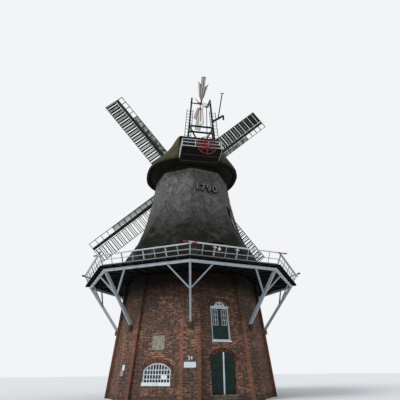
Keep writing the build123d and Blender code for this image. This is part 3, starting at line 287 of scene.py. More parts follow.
def leaning_place(azimuth, foot, lean, along, height, out=0.0, turn=0.0):
    """Place on a face that stands foot away at the ground: x runs along it, y into it, z up its slope."""
    outwards = Vector((math.sin(azimuth), -math.cos(azimuth), 0))
    sideways = Vector((math.cos(azimuth), math.sin(azimuth), 0))
    normal = outwards * math.cos(lean) + Vector((0, 0, math.sin(lean)))
    slope = Vector((0, 0, math.cos(lean))) - outwards * math.sin(lean)
    spot = (outwards * (foot - math.tan(lean) * height) + sideways * along + Vector((0, 0, height))
            + normal * out)
    axes = Matrix((sideways, -normal, slope)).transposed().to_4x4()
    return Matrix.Translation(spot) @ axes @ Matrix.Rotation(turn, 4, "Y")


def wall_place(side, along, height, out=0.0, turn=0.0):
    foot = corner_radius * math.cos(half_corner) - panel_recess
    return leaning_place(math.radians(45 * side), foot, wall_lean, along, height, out, turn)


def block(width, depth, tall, edge, taper=1.0):
    """A squared piece with its edges taken off, centred on the origin; taper widens or narrows its top."""
    bpy.ops.object.select_all(action="DESELECT")
    bpy.ops.mesh.primitive_cube_add(size=1)
    shape = bpy.context.object
    shape.scale = (width, depth, tall)
    bpy.ops.object.transform_apply(location=False, rotation=False, scale=True)
    for vertex in shape.data.vertices:
        if vertex.co.z > 0:
            vertex.co.x *= taper
    bpy.ops.object.mode_set(mode="EDIT")
    bpy.ops.mesh.select_all(action="SELECT")
    bpy.ops.mesh.bevel(offset=edge, segments=1, affect="EDGES")
    bpy.ops.object.mode_set(mode="OBJECT")
    return shape


def lay_out(name, body, slot, material, *parts):
    """One piece from copies of each shape at its places. Every copy carries a tone of its own."""
    joined = bmesh.new()
    tone = joined.verts.layers.float.new("tone")
    chance = random.Random(name)
    for shape, places in parts:
        for place in places:
            mesh = shape.data.copy()
            mesh.transform(place)
            count = len(joined.verts)
            joined.from_mesh(mesh)
            joined.verts.ensure_lookup_table()
            value = chance.random()
            for vertex in joined.verts[count:]:
                vertex[tone] = value
            bpy.data.meshes.remove(mesh)
        bpy.data.objects.remove(shape)
    mesh = bpy.data.meshes.new(name)
    joined.to_mesh(mesh)
    joined.free()
    mesh.materials.append(material)
    piece = bpy.data.objects.new(name, mesh)
    bpy.context.scene.collection.objects.link(piece)
    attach(piece, body)


def arch_circle(half, spring, crown):
    """Radius and middle height of a segmental arch, and the angle from its top to its springing."""
    rise = crown - spring
    radius = (half * half + rise * rise) / (2 * rise)
    return radius, crown - radius, math.asin(half / radius)


def arch_places(sides, half, spring, crown, depth, pitch, out):
    """Places for bricks on edge round a segmental arch, each pointing at the arch's middle."""
    radius, middle, reach = arch_circle(half, spring, crown)
    count = round(2 * reach * (radius + depth / 2) / pitch)
    places = []
    for side in sides:
        for number in range(count):
            turn = reach * (2 * (number + 0.5) / count - 1)
            along = math.sin(turn) * (radius + depth / 2)
            height = middle + math.cos(turn) * (radius + depth / 2)
            places.append(wall_place(side, along, height, out, turn))
    return places


def timber(name, paint, worn, grime, grain=(30, 30, 1.5), roughness=0.55, tone_share=0.0):
    """Brush-painted or bare softwood: grain shows through the coats, and grime sits in the hollows."""
    material, tree, shader = new_material(name, roughness)
    place = add_node(tree, "TexCoord")
    stretched = add_node(tree, "Mapping", {"Vector": place.outputs["Object"], "Scale": grain})
    fibres = add_node(tree, "TexNoise", {"Vector": stretched, "Scale": 1.0, "Detail": 4.0, "Roughness": 0.6})
    bare = add_node(tree, "MapRange", {
        "Value": fibres, "From Min": 0.38, "From Max": 0.7, "To Min": 0.0, "To Max": 0.7})
    coat = add_node(tree, "Mix", {0: bare, 6: srgb(paint), 7: srgb(worn)}, data_type="RGBA")
    stains = add_node(tree, "TexNoise", {
        "Vector": place.outputs["Object"], "Scale": 2.2, "Detail": 6.0, "Roughness": 0.65})
    dirty = add_node(tree, "MapRange", {
        "Value": stains, "From Min": 0.5, "From Max": 0.76, "To Min": 0.0, "To Max": 0.6})
    if tone_share:
        own = add_node(tree, "Attribute", attribute_name="tone")
        dirty = add_node(tree, "Math", {0: own.outputs["Fac"], 1: tone_share, 2: dirty},
                         operation="MULTIPLY_ADD", use_clamp=True)
    colour = add_node(tree, "Mix", {0: dirty, 6: coat, 7: srgb(grime)}, data_type="RGBA")
    finish(tree, shader, colour.outputs[2], fibres)
    return material


def arch_brick(name, tones):
    """The same fired clay as the walls, for bricks that are pieces of their own."""
    material, tree, shader = new_material(name, 0.88)
    place = add_node(tree, "TexCoord")
    own = add_node(tree, "Attribute", attribute_name="tone")
    colours = add_node(tree, "ValToRGB", {"Fac": own.outputs["Fac"]})
    set_tones(colours, tones)
    sand = add_node(tree, "TexNoise", {"Vector": place.outputs["Object"], "Scale": 40.0, "Detail": 4.0})
    mottled = add_node(tree, "Mix", {0: 0.5, 6: colours.outputs["Color"], 7: sand.outputs["Color"]},
                       data_type="RGBA", blend_type="SOFT_LIGHT")
    finish(tree, shader, mottled.outputs[2], sand, 0.4)
    return material


def blotched(name, roughness, scale, detail, unevenness, tones, gloss=0.12, relief=None):
    """A smooth or sandy skin without grain, whose tone follows broad stains."""
    material, tree, shader = new_material(name, roughness, gloss)
    place = add_node(tree, "TexCoord")
    stains = add_node(tree, "TexNoise", {
        "Vector": place.outputs["Object"], "Scale": scale, "Detail": detail, "Roughness": unevenness})
    tone = add_node(tree, "ValToRGB", {"Fac": stains})
    set_tones(tone, tones)
    if relief:
        finish(tree, shader, tone.outputs["Color"], stains, relief, 0.01)
    else:
        finish(tree, shader, tone.outputs["Color"])
    return material


def brick_arch(name, sides, half, spring, crown, depth, out, taper):
    """One ring of bricks on edge, each wider at its head than at its foot."""
    shape = block(voussoir_width, voussoir_thickness, depth, brick_edge, taper)
    places = arch_places(sides, half, spring, crown, depth, voussoir_pitch, out)
    lay_out(name, "tower", "brick", arch_red, (shape, places))


# Lead white on pine: bright and chalky, with bare grain and grey grime in its hollows.
white_paint = timber("white_painted_pine", "d9dfe4", "c6cbcf", "8f938f")
# Bricks on edge in the arches: matt red-brown clay, each a shade lighter or darker than the next.
arch_red = arch_brick("arch_brick", ((0.0, "33221d"), (0.5, "553529"), (1.0, "774a38")))
dress(white_paint, "window_frames")

glass_half = window_half - frame_width
pane_width = 2 * glass_half / pane_columns
arch_radius, arch_middle, _ = arch_circle(glass_half, window_spring, window_crown - frame_width)
slope_share = math.cos(wall_lean)
upright_places = []
cross_places = []
sill_places = []
for side in window_sides:
    for number in range(1, pane_columns):
        across = -glass_half + number * pane_width
        low = window_low + frame_width
        high = arch_middle + math.sqrt(arch_radius ** 2 - across ** 2)
        stretch = Matrix.Diagonal((1, 1, (high - low) / slope_share, 1))
        upright_places.append(wall_place(side, across, (low + high) / 2, bar_out) @ stretch)
    for height in bar_heights:
        cross_places.append(wall_place(side, 0, height, bar_out))
    sill_places.append(wall_place(side, 0, window_low + sill_rise, sill_out))
lay_out(
    "glazing_bars", "tower", "white_wood", white_paint,
    (block(bar_width, bar_depth, 1.0, bar_edge), upright_places),
    (block(2 * glass_half, bar_depth * 0.9, bar_width, bar_edge), cross_places),
    (block(*sill_size, 0.014), sill_places),
)
brick_arch("window_arches", window_sides, window_half, window_spring, window_crown,
           voussoir_depth, voussoir_out, voussoir_taper)

# Old drawn glass: nearly black from outside, and glossy enough to catch the sky.
glass_material = blotched("drawn_window_glass", 0.06, 6.0, 1.0, 0.5, ((0.0, "0c1013"), (1.0, "20282d")),
                          gloss=0.5, relief=0.12)
dress(glass_material, "window_glass")

# Sun-bleached paper: flat, dull and nearly even.
paper = timber("bleached_paper", "e8ecef", "dfe3e6", "d2d5d6", grain=(8, 8, 8), roughness=0.8)
notice_size = (1.85 * pane_width, 0.002, 0.2)
notice_edge = 0.0008
notice_along = glass_half - 2.05 * pane_width
notice_height = (bar_heights[0] + bar_heights[1]) / 2
notice_out = -0.1188
lay_out("window_notice", "tower", "white_wood", paper,
        (block(*notice_size, notice_edge), [wall_place(7, notice_along, notice_height, notice_out)]))


# Entrance
# Two ledged leaves of painted deal boards, hung on iron straps in an arched recess, with a wide white
# cover strip down the meeting edge. The arch over them is one ring of bricks on edge, with a thin
# projecting course that throws the rain off.
leaf_front = -5.235
leaf_low = 0.38
door_half = 0.8
door_spring = 2.22
door_crown = 2.74
boards_per_leaf = 6
board_proud = 0.006
board_gap = 0.004
meeting_edges = {-1: 0.012, 1: 0.085}     # where the boards of each leaf begin; the strip covers the rest
bead_inset = 0.01
bead_drop = 0.06
# Dark green oil paint on deal: half glossy, each board a shade of its own.
green_paint = timber("dark_green_painted_deal", "1c302b", "27403a", "101a18", roughness=0.45,
                     tone_share=0.35)
door_radius, door_middle, _ = arch_circle(door_half, door_spring, door_crown)


def door_boards(side):
    """The boards of one leaf, each cut to the arch at its top, and the bead across them."""
    meeting = meeting_edges[side]
    width = (door_half - meeting) / boards_per_leaf
    parts = []
    for number in range(boards_per_leaf):
        near = meeting + number * width
        board = block(width - board_gap, 2 * board_proud, 1.0, board_gap)
        for vertex in board.data.vertices:
            x = near + width / 2 + vertex.co.x
            top = door_middle + math.sqrt(door_radius ** 2 - x ** 2) - board_gap
            low = leaf_low + board_gap
            vertex.co.z = low + (vertex.co.z + 0.5) * (top - low)
            vertex.co.x = side * x
        if side < 0:
            board.data.flip_normals()
        parts.append((board, [Matrix.Translation((0, leaf_front, 0))]))
    span = door_half - 2 * bead_inset - meeting
    middle = (side * (meeting + bead_inset + span / 2), leaf_front - board_proud, door_spring - bead_drop)
    parts.append((block(span, 0.02, 0.03, 0.005), [Matrix.Translation(middle)]))
    return parts


dress(green_paint, "door_leaf_left", "door_leaf_right")
lay_out("left_leaf_boards", "left_door", "dark_green_wood", green_paint, *door_boards(-1))
lay_out("right_leaf_boards", "right_door", "dark_green_wood", green_paint, *door_boards(1))
strip_width = 0.1
strip_thickness = 0.012
strip_middle = 0.045
strip_proud = 0.031
strip_inset = 0.006
strip = block(strip_width, strip_thickness, 1.0, 0.004)
for vertex in strip.data.vertices:
    vertex.co.x += strip_middle
    vertex.co.y += leaf_front - strip_proud
    top = door_middle + math.sqrt(door_radius ** 2 - vertex.co.x ** 2) - strip_inset
    vertex.co.z = leaf_low + strip_inset + (vertex.co.z + 0.5) * (top - leaf_low - strip_inset)
lay_out("meeting_strip", "right_door", "white_wood", white_paint, (strip, [Matrix()]))

recess_half = 0.88
recess_crown = 2.82
ring_depth = 0.115
ring_out = -0.046
ring_taper = 1.1
# The same brick, painted nearly black: the shadow line that the projecting course throws along the arch.
drip_shadow_tone = arch_brick("drip_shadow_brick", ((0.0, "1a1412"), (1.0, "33241f")))
brick_arch("entrance_arch", (0,), recess_half, door_spring, recess_crown, ring_depth, ring_out, ring_taper)
# Wrought iron under old black paint: dull, with specks of rust.
iron = timber("wrought_iron_black", "17191b", "24282c", "2e221b", grain=(9, 9, 9), roughness=0.5)
dress(iron, "door_pintles")


# Upper door
# Two glazed leaves of green painted pine in a white frame, with a projecting sill and a moulded head.
# Over it stands a white carved shell with two round holes, under an arch of bricks on edge.
upper_low = 3.42
upper_high = 5.5
leaf_out = -0.095
pane_half = 0.165
pane_middle = 0.31
pane_low = 4.37
pane_high = 5.34
thin_bar = 0.024
pane_proud = 0.004
bar_proud = 0.016
panel_proud = 0.006
panel_heights = (3.7, 4.09)
shell_low = 5.57
shell_half = 0.36
shell_rise = 0.25
hole_radius = 0.066
hole_across = 0.12
hole_rise = 0.12
hood_half = 0.8
hood_spring = 5.6
hood_crown = 6.06

dress(white_paint, "upper_door_frame")
dress(green_paint, "upper_door_leaves")

bar_stretch = Matrix.Diagonal((1, 1, (pane_high - pane_low + thin_bar) / slope_share, 1))
pane_places = []
stile_places = []
rail_places = []
panel_places = []
for across in (-pane_middle, pane_middle):
    pane_places.append(wall_place(0, across, (pane_low + pane_high) / 2, leaf_out + pane_proud))
    for step in (-1, 0, 1):
        spot = wall_place(0, across + step * pane_half, (pane_low + pane_high) / 2, leaf_out + bar_proud)
        stile_places.append(spot @ bar_stretch)
    for step in range(4):
        height = pane_low + step * (pane_high - pane_low) / 3
        rail_places.append(wall_place(0, across, height, leaf_out + bar_proud))
    for height in panel_heights:
        panel_places.append(wall_place(0, across, height, leaf_out + panel_proud))
lay_out(
    "upper_door_panes", "tower", "glass", glass_material,
    (block(2 * pane_half, 0.008, pane_high - pane_low, 0.002), pane_places),
)
lay_out(
    "upper_door_bars", "tower", "white_wood", white_paint,
    (block(thin_bar, 0.024, 1.0, 0.005), stile_places),
    (block(2 * pane_half + thin_bar, 0.022, thin_bar, 0.005), rail_places),
    (block(1.36, 0.17, 0.1, 0.014), [wall_place(0, 0, upper_low - 0.045, 0.0)]),
    (block(1.33, 0.13, 0.07, 0.014), [wall_place(0, 0, upper_high + 0.02, 0.005)]),
)
lay_out(
    "upper_door_panels", "tower", "dark_green_wood", green_paint,
    (block(0.4, 0.024, 0.3, 0.01), panel_places),
)

# The shell is carved from one board: a half round with seven lobes and two eyes cut through it.
lobe_count = 7
lobe_reach = 0.82              # share of the half round's size
lobe_size = 0.075
lobe_places = []
for number in range(lobe_count):
    turn = math.pi * (number + 0.5) / lobe_count
    across = -math.cos(turn) * shell_half * lobe_reach
    rise = math.sin(turn) * shell_rise * lobe_reach
    lobe_places.append(wall_place(0, across, shell_low + rise, 0.012) @ Matrix.Scale(lobe_size, 4))


def disc(sides, rounding):
    """A flat round with a softened rim, one metre in radius, its face to the front."""
    bpy.ops.object.select_all(action="DESELECT")
    bpy.ops.mesh.primitive_cylinder_add(
        vertices=sides, radius=1, depth=0.5, rotation=(math.radians(90), 0, 0))
    shape = bpy.context.object
    bpy.ops.object.transform_apply(location=False, rotation=True, scale=False)
    bpy.ops.object.mode_set(mode="EDIT")
    bpy.ops.mesh.select_mode(type="EDGE")
    bpy.ops.mesh.select_all(action="DESELECT")
    bpy.ops.object.mode_set(mode="OBJECT")
    for edge in shape.data.edges:
        ends = [shape.data.vertices[number].co.y for number in edge.vertices]
        edge.select = abs(ends[0] - ends[1]) < 0.001
    bpy.ops.object.mode_set(mode="EDIT")
    bpy.ops.mesh.bevel(offset=rounding, segments=2, affect="EDGES")
    bpy.ops.object.mode_set(mode="OBJECT")
    return shape


def half_disc(sides):
    """The upper half of a disc, cut off level."""
    shape = disc(sides, 0.06)
    bpy.ops.object.mode_set(mode="EDIT")
    bpy.ops.mesh.select_all(action="SELECT")
    bpy.ops.mesh.bisect(plane_co=(0, 0, 0), plane_no=(0, 0, -1), use_fill=True, clear_outer=True)
    bpy.ops.object.mode_set(mode="OBJECT")
    return shape


shell_board = Matrix.Diagonal((shell_half * 0.9, 0.06, shell_rise * 0.9, 1))
eye_places = [wall_place(0, side * hole_across, shell_low + hole_rise, 0.03) for side in (-1, 1)]
eye_size = Matrix.Diagonal((hole_radius, 0.02, hole_radius, 1))
ring_size = Matrix.Diagonal((hole_radius * 1.5, 0.03, hole_radius * 1.5, 1))
lay_out(
    "door_shell", "tower", "white_wood", white_paint,
    (half_disc(32), [wall_place(0, 0, shell_low, 0.0) @ shell_board]),
    (disc(14, 0.12), lobe_places),
    (disc(20, 0.2), [place @ ring_size for place in eye_places]),
    (block(0.8, 0.06, 0.045, 0.012), [wall_place(0, 0, shell_low + 0.005, 0.012)]),
)
lay_out(
    "shell_eyes", "tower", "iron", iron,
    (disc(18, 0.1), [place @ Matrix.Translation((0, -0.006, 0)) @ eye_size for place in eye_places]),
)
brick_arch("upper_door_arch", (0,), hood_half - ring_depth, hood_spring, hood_crown - ring_depth,
           ring_depth, ring_out, ring_taper)
drip_depth = 0.03
drip_pitch = 0.078
drip_out = -0.03
drip_arches = (
    (hood_half, hood_spring, hood_crown),
    (recess_half + ring_depth, door_spring, recess_crown + ring_depth),
)
# Painted shadow: both drip courses are nearly black.
lay_out("drip_courses", "tower", "brick", drip_shadow_tone, (
    block(0.075, 0.13, drip_depth, brick_edge),
    [place for arch in drip_arches
     for place in arch_places((0,), *arch, drip_depth, drip_pitch, drip_out)],
))


# Plaque and boards
# A slab of greenish sandstone is let into the wall over the window, with a raised border and a bare
# field. Bare enamelled boards hang on two corner piers, each fixed by four screws, one under a plain house
# number and one over a letter box.
plaque_size = 0.87
plaque_height = 3.31
plaque_front = 0.04
border = 0.07
border_thickness = 0.024
# Sandstone: blotched in grey and olive, and rough.
stone_material = blotched("weathered_sandstone", 0.9, 5.0, 8.0, 0.7,
                          ((0.3, "5f5c4e"), (0.5, "848071"), (0.7, "a5a08f")), relief=0.5)
dress(stone_material, "stone_plaque")
lay_out(
    "plaque_border", "tower", "stone", stone_material,
    (block(plaque_size, border_thickness, border, 0.008), [
        wall_place(7, 0, plaque_height + side * (plaque_size - border) / 2 * slope_share, plaque_front)
        for side in (-1, 1)]),
    (block(border, border_thickness, plaque_size - 2 * border, 0.008), [
        wall_place(7, side * (plaque_size - border) / 2, plaque_height, plaque_front) for side in (-1, 1)]),
)

# Enamel fired on steel: glassy and white, with a thin film of grime.
enamel_material = blotched("vitreous_enamel", 0.25, 7.0, 6.0, 0.5, ((0.0, "dde3ea"), (1.0, "b9c2cb")),
                           gloss=0.4)


pier_setback = 0.184            # from the sharp corner to the pier's flat front
screw_inset = 0.03
screw_size = 0.009
board_thickness = 0.022
board_out = 0.014
enamel_boards = (              # corner, place along and up, width, height
    (-22.5, -0.02, 2.01, 0.72, 0.31),
    (-67.5, -0.15, 1.9, 0.24, 0.34),
)


def pier_place(corner, along, height, out=0.0):
    return leaning_place(math.radians(corner), corner_radius - pier_setback, pier_lean, along, height, out)


def board_screws(corner, across, height, width, tall):
    side_reach = width / 2 - screw_inset
    rise = tall / 2 - screw_inset
    return [pier_place(corner, across + x * side_reach, height + z * rise, board_thickness + 0.006)
            @ Matrix.Scale(screw_size, 4) for x in (-1, 1) for z in (-1, 1)]


# Shoes under the struts: one even red-brown, so that they pass for part of the brickwork.
dress(arch_brick("shoe_brick", ((0.0, "4c352c"), (1.0, "4c352c"))), "strut_shoes")
lay_out(
    "enamel_boards", "tower", "white_wood", enamel_material,
    *((block(width, board_thickness, tall, 0.006), [pier_place(corner, across, height, board_out)])
      for corner, across, height, width, tall in enamel_boards),
)
# Zinc on sheet steel: mid grey and faintly blotched.
galvanised = timber("galvanised_sheet", "7d8488", "969da1", "575d60", grain=(6, 6, 6))
lay_out("letter_box", "tower", "iron", galvanised,
        (block(0.3, 0.1, 0.3, 0.012), [pier_place(-67.5, -0.15, 1.55, 0.052)]))
lay_out("board_screws", "tower", "iron", iron,
        (disc(10, 0.15), [place for board in enamel_boards for place in board_screws(*board)]))


def numerals(text, tall, depth, widen=0.012):
    """Plain cut figures, standing upright and facing the front; widen makes their strokes broader."""
    bpy.ops.object.select_all(action="DESELECT")
    bpy.ops.object.text_add(rotation=(math.radians(90), 0, 0))
    shape = bpy.context.object
    shape.data.body = text
    shape.data.size = tall / 0.72
    shape.data.extrude = depth / 2
    shape.data.offset = widen
    shape.data.bevel_depth = 0.1 * depth
    shape.data.resolution_u = 4
    shape.data.space_character = 1.12
    shape.data.align_x = "CENTER"
    shape.data.align_y = "CENTER"
    bpy.ops.object.convert(target="MESH")
    bpy.ops.object.transform_apply(location=False, rotation=True, scale=True)
    return shape


house_figures = "24"
lay_out("house_number", "tower", "white_wood", enamel_material,
        (numerals(house_figures, 0.19, 0.02, 0.004), [pier_place(-22.5, 0, 2.38, 0.012)]))


# Gallery
# Larch beams, struts and rails under a thin pale oil paint, and a deck of grey boards laid along each
# side on the joists, over a deck body painted nearly black as shade. The crossing ends of the handrails
# are painted signal red.
deck_top = 7.98
deck_corner = 8.4
deck_inner = 5.1
deck_board = 0.155
deck_board_gap = 0.012
deck_plank = 0.016             # thickness of a deck board
deck_edge = 0.003
deck_end_gap = 0.006
rail_inset = 0.235
rail_foot = deck_corner * math.cos(half_corner) - rail_inset
rail_tilt = math.radians(25)
handrail_height = 8.711
handrail_reach = rail_foot + math.tan(rail_tilt) * (handrail_height - deck_top)
red_beyond = 0.1               # past the handrails' corners
red_drop = 0.12
highlight_drop = 0.07
# Thin oil paint on larch: blotched grey where it has worn. The tops of the handrails are painted paler
# and bluer, as a highlight from the sky.
pale_material, pale_tree, pale_shader = new_material("pale_oil_paint", 0.5)
pale_place = add_node(pale_tree, "TexCoord")
pale_grain = add_node(pale_tree, "TexNoise", {
    "Vector": pale_place.outputs["Object"], "Scale": 14.0, "Detail": 6.0, "Roughness": 0.7})
pale_coat = add_node(pale_tree, "ValToRGB", {"Fac": pale_grain})
set_tones(pale_coat, ((0.32, "787e82"), (0.5, "a0a8ae"), (0.7, "b9c1c8")))
pale_spot = add_node(pale_tree, "SeparateXYZ", {0: pale_place.outputs["Object"]})
pale_x = add_node(pale_tree, "Math", {0: pale_spot.outputs["X"]}, operation="ABSOLUTE")
pale_y = add_node(pale_tree, "Math", {0: pale_spot.outputs["Y"]}, operation="ABSOLUTE")
straight = add_node(pale_tree, "Math", {0: pale_x, 1: pale_y}, operation="MAXIMUM")
diagonal_sum = add_node(pale_tree, "Math", {0: pale_x, 1: pale_y}, operation="ADD")
diagonal = add_node(pale_tree, "Math", {0: diagonal_sum, 1: math.sqrt(0.5)}, operation="MULTIPLY")
distance = add_node(pale_tree, "Math", {0: straight, 1: diagonal}, operation="MAXIMUM")
beyond = add_node(pale_tree, "Math", {0: distance, 1: handrail_reach + red_beyond}, operation="GREATER_THAN")
upper = add_node(pale_tree, "Math", {0: pale_spot.outputs["Z"], 1: handrail_height - red_drop},
                 operation="GREATER_THAN")
red_end = add_node(pale_tree, "Math", {0: beyond, 1: upper}, operation="MULTIPLY")
red_coat = add_node(pale_tree, "Mix", {0: pale_grain, 6: srgb("7d1f2c"), 7: srgb("a03f49")}, data_type="RGBA")
# Painted highlight: the top of the handrail is mixed towards a pale blue-white.
lit_rail_top = add_node(pale_tree, "Math", {0: pale_spot.outputs["Z"], 1: handrail_height - highlight_drop},
                     operation="GREATER_THAN")
brighter = add_node(pale_tree, "Math", {0: lit_rail_top, 1: 0.7}, operation="MULTIPLY")
highlight_coat = add_node(pale_tree, "Mix", {0: brighter, 6: pale_coat.outputs["Color"], 7: srgb("d3dbe4")},
                      data_type="RGBA")
pale_colour = add_node(pale_tree, "Mix", {0: red_end, 6: highlight_coat, 7: red_coat}, data_type="RGBA")
finish(pale_tree, pale_shader, pale_colour.outputs[2], pale_grain)
dress(pale_material, "gallery_struts", "strut_braces", "gallery_railing")
# The same paint where the deck keeps the rain off it: paler and more even.
dress(timber("fresh_pale_oil_paint", "c6cdd5", "adb5bc", "878d92"), "gallery_ring_beam")
# Nearly black and dull: painted shade on the deck's body and corner beams, which lie in the deck's shadow.
deck_shade_black = timber("deck_underside_shade_deal", "121111", "1a1918", "0a0909", grain=(9, 9, 9), roughness=0.7)
dress(deck_shade_black, "gallery_deck", "gallery_corner_beams")
# Boards bleached by the weather: grey, each of its own tone, with dirt in the grain.
deck_grey = timber("weathered_deck_boards", "5b564f", "736c62", "2c2925", grain=(12, 12, 12),
                   roughness=0.85, tone_share=0.5)


def side_place(side, along, outwards, height):
    """Level place on one side of the mill: x runs along it and y into it."""
    turn = math.radians(45 * side)
    return Matrix.Rotation(turn, 4, "Z") @ Matrix.Translation((along, -outwards, height))


deck_rows = int((deck_corner * math.cos(half_corner) - deck_inner) / (deck_board + deck_board_gap))
deck_parts = []
for row in range(deck_rows):
    middle = deck_corner * math.cos(half_corner) - (row + 0.5) * (deck_board + deck_board_gap)
    board = block(1.0, deck_board, deck_plank, deck_edge)
    for vertex in board.data.vertices:
        half_length = (middle - vertex.co.y) * math.tan(half_corner) - deck_end_gap
        vertex.co.x = math.copysign(half_length - deck_edge * (abs(vertex.co.x) < 0.499), vertex.co.x)
    deck_parts.append((board, [side_place(side, 0, middle, deck_top + deck_plank / 2) for side in range(8)]))
lay_out("deck_boards", "tower", "floor_wood", deck_grey, *deck_parts)


def rail_place(side, along, height, out=0.0):
    """Place on the leaning railing: x runs along it, y into it and z up its slope."""
    turn = Matrix.Rotation(math.radians(45 * side), 4, "Z")
    lean = Matrix.Rotation(rail_tilt, 4, "X")
    rise = (height - deck_top) / math.cos(rail_tilt)
    foot = Matrix.Translation((0, -rail_foot, deck_top))
    return turn @ foot @ lean @ Matrix.Translation((along, -out, rise))


white_blocks = [rail_place(0, across, handrail_height - 0.1) for across in (-1.58, 0)]
lay_out(
    "rail_blocks", "tower", "white_wood", white_paint,
    (block(0.26, 0.1, 0.05, 0.01), white_blocks),
)
lamp_arm = rail_place(0, -1.27, handrail_height - 0.17, 0.02)
lamp_radius = 0.1
lamp_back = 0.03               # the glass is cut off here, behind its middle


def bulkhead_lamp():
    """A round opal glass, cut off flat at its back."""
    bpy.ops.object.select_all(action="DESELECT")
    bpy.ops.mesh.primitive_uv_sphere_add(segments=20, ring_count=10, radius=lamp_radius)
    shape = bpy.context.object
    bpy.ops.object.mode_set(mode="EDIT")
    bpy.ops.mesh.select_all(action="SELECT")
    bpy.ops.mesh.bisect(plane_co=(0, lamp_back, 0), plane_no=(0, 1, 0), use_fill=True, clear_outer=True)
    bpy.ops.object.mode_set(mode="OBJECT")
    return shape


lay_out(
    "gallery_lamp", "tower", "white_wood", enamel_material,
    (bulkhead_lamp(), [lamp_arm]),
    (block(0.05, 0.05, 0.2, 0.01), [lamp_arm @ Matrix.Translation((0, 0.03, 0.08))]),
)


# Smock
# Water reed laid on battens over eight leaning sides, a foot thick, its hips beaten round with a
# leggett. It has weathered to a dull brownish grey, with moss and painted shade near the foot, and a
# band of newer reed shows pale under the cap. The door, its hood and the hatch are tarred boards.
reed_voxel = 0.1
smock_top = 16.96


def reed(name, tones, moss_and_shade, moss_and_shade_low, moss_and_shade_high, pale_low=None, dark_under=False):
    """Cut reed: matt fibres that run up the slope, with the dull patches of lichen and rot. Moss and painted
    shade darken it low down, and dark_under paints shade on the faces turned down.
    """
    material, tree, shader = new_material(name, 0.95)
    place = add_node(tree, "TexCoord")
    spot = add_node(tree, "SeparateXYZ", {0: place.outputs["Object"]})
    stretched = add_node(tree, "Mapping", {"Vector": place.outputs["Object"], "Scale": (9, 9, 1.5)})
    stalks = add_node(tree, "TexNoise", {"Vector": stretched, "Scale": 1.0, "Detail": 7.0, "Roughness": 0.8})
    lichen = add_node(tree, "TexNoise", {
        "Vector": place.outputs["Object"], "Scale": 1.7, "Detail": 8.0, "Roughness": 0.78})
    mixed = add_node(tree, "Mix", {0: 0.45, 2: stalks, 3: lichen}, data_type="FLOAT")
    colours = add_node(tree, "ValToRGB", {"Fac": mixed.outputs[0]})
    set_tones(colours, tones)
    patches = add_node(tree, "TexNoise", {
        "Vector": place.outputs["Object"], "Scale": 1.2, "Detail": 6.0, "Roughness": 0.7})
    # Moss and painted shade: more and more patches mix towards that dark colour lower down.
    low_moss_and_shade = add_node(tree, "MapRange", {
        "Value": spot.outputs["Z"], "From Min": moss_and_shade_high, "From Max": moss_and_shade_low,
        "To Min": 0.08, "To Max": 2.0},
        interpolation_type="SMOOTHSTEP")
    share = add_node(tree, "Math", {0: low_moss_and_shade, 1: patches}, operation="MULTIPLY", use_clamp=True)
    colour = add_node(tree, "Mix", {0: share, 6: colours.outputs["Color"], 7: srgb(moss_and_shade)}, data_type="RGBA")
    if pale_low:
        ragged = add_node(tree, "TexNoise", {"Vector": place.outputs["Object"], "Scale": 3.0, "Detail": 3.0})
        edge = add_node(tree, "Math", {0: ragged, 1: 0.9, 2: spot.outputs["Z"]}, operation="MULTIPLY_ADD")
        brighter = add_node(tree, "MapRange", {
            "Value": edge, "From Min": pale_low + 0.48, "From Max": pale_low + 0.56,
            "To Min": 0.0, "To Max": 0.6})
        colour = add_node(tree, "Mix", {0: brighter, 6: colour.outputs[2], 7: srgb("8d8067")}, data_type="RGBA")
    # Painted shade: faces that turn down are mixed towards nearly black.
    if dark_under:
        facing = add_node(tree, "SeparateXYZ", {0: place.outputs["Normal"]})
        under = add_node(tree, "MapRange", {
            "Value": facing.outputs["Z"], "From Min": 0.06, "From Max": -0.3, "To Min": 0.0, "To Max": 0.92})
        colour = add_node(tree, "Mix", {0: under, 6: colour.outputs[2], 7: srgb("15130f")}, data_type="RGBA")
    finish(tree, shader, colour.outputs[2], mixed.outputs[0], 0.9, 0.035)
    return material


def reed_coat(name, body, material, node_names, voxel, softness, lumps):
    """One skin of reed from the solids of a thatched form, with soft corners and an uneven surface."""
    bpy.ops.object.select_all(action="DESELECT")
    for node_name in node_names:
        copy = bpy.data.objects.new(name, nodes[node_name].data.copy())
        bpy.context.scene.collection.objects.link(copy)
        copy.select_set(True)
        bpy.context.view_layer.objects.active = copy
    bpy.ops.object.join()
    piece = bpy.context.object
    piece.name = name
    bpy.ops.object.mode_set(mode="EDIT")
    bpy.ops.mesh.select_all(action="SELECT")
    bpy.ops.mesh.remove_doubles(threshold=0.0005)
    bpy.ops.object.mode_set(mode="OBJECT")
    skin = piece.modifiers.new("skin", "REMESH")
    skin.mode = "VOXEL"
    skin.voxel_size = voxel
    soften = piece.modifiers.new("soften", "SMOOTH")
    soften.factor = 0.5
    soften.iterations = softness
    clouds = bpy.data.textures.new(name, "CLOUDS")
    clouds.noise_scale = 0.45
    clouds.noise_depth = 3
    uneven = piece.modifiers.new("uneven", "DISPLACE")
    uneven.texture = clouds
    uneven.texture_coords = "LOCAL"
    uneven.strength = lumps
    uneven.mid_level = 0.55
    for modifier in ("skin", "soften", "uneven"):
        bpy.ops.object.modifier_apply(modifier=modifier)
    bpy.ops.object.shade_smooth()
    piece.data.materials.clear()
    piece.data.materials.append(material)
    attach(piece, body)
    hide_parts(*node_names)


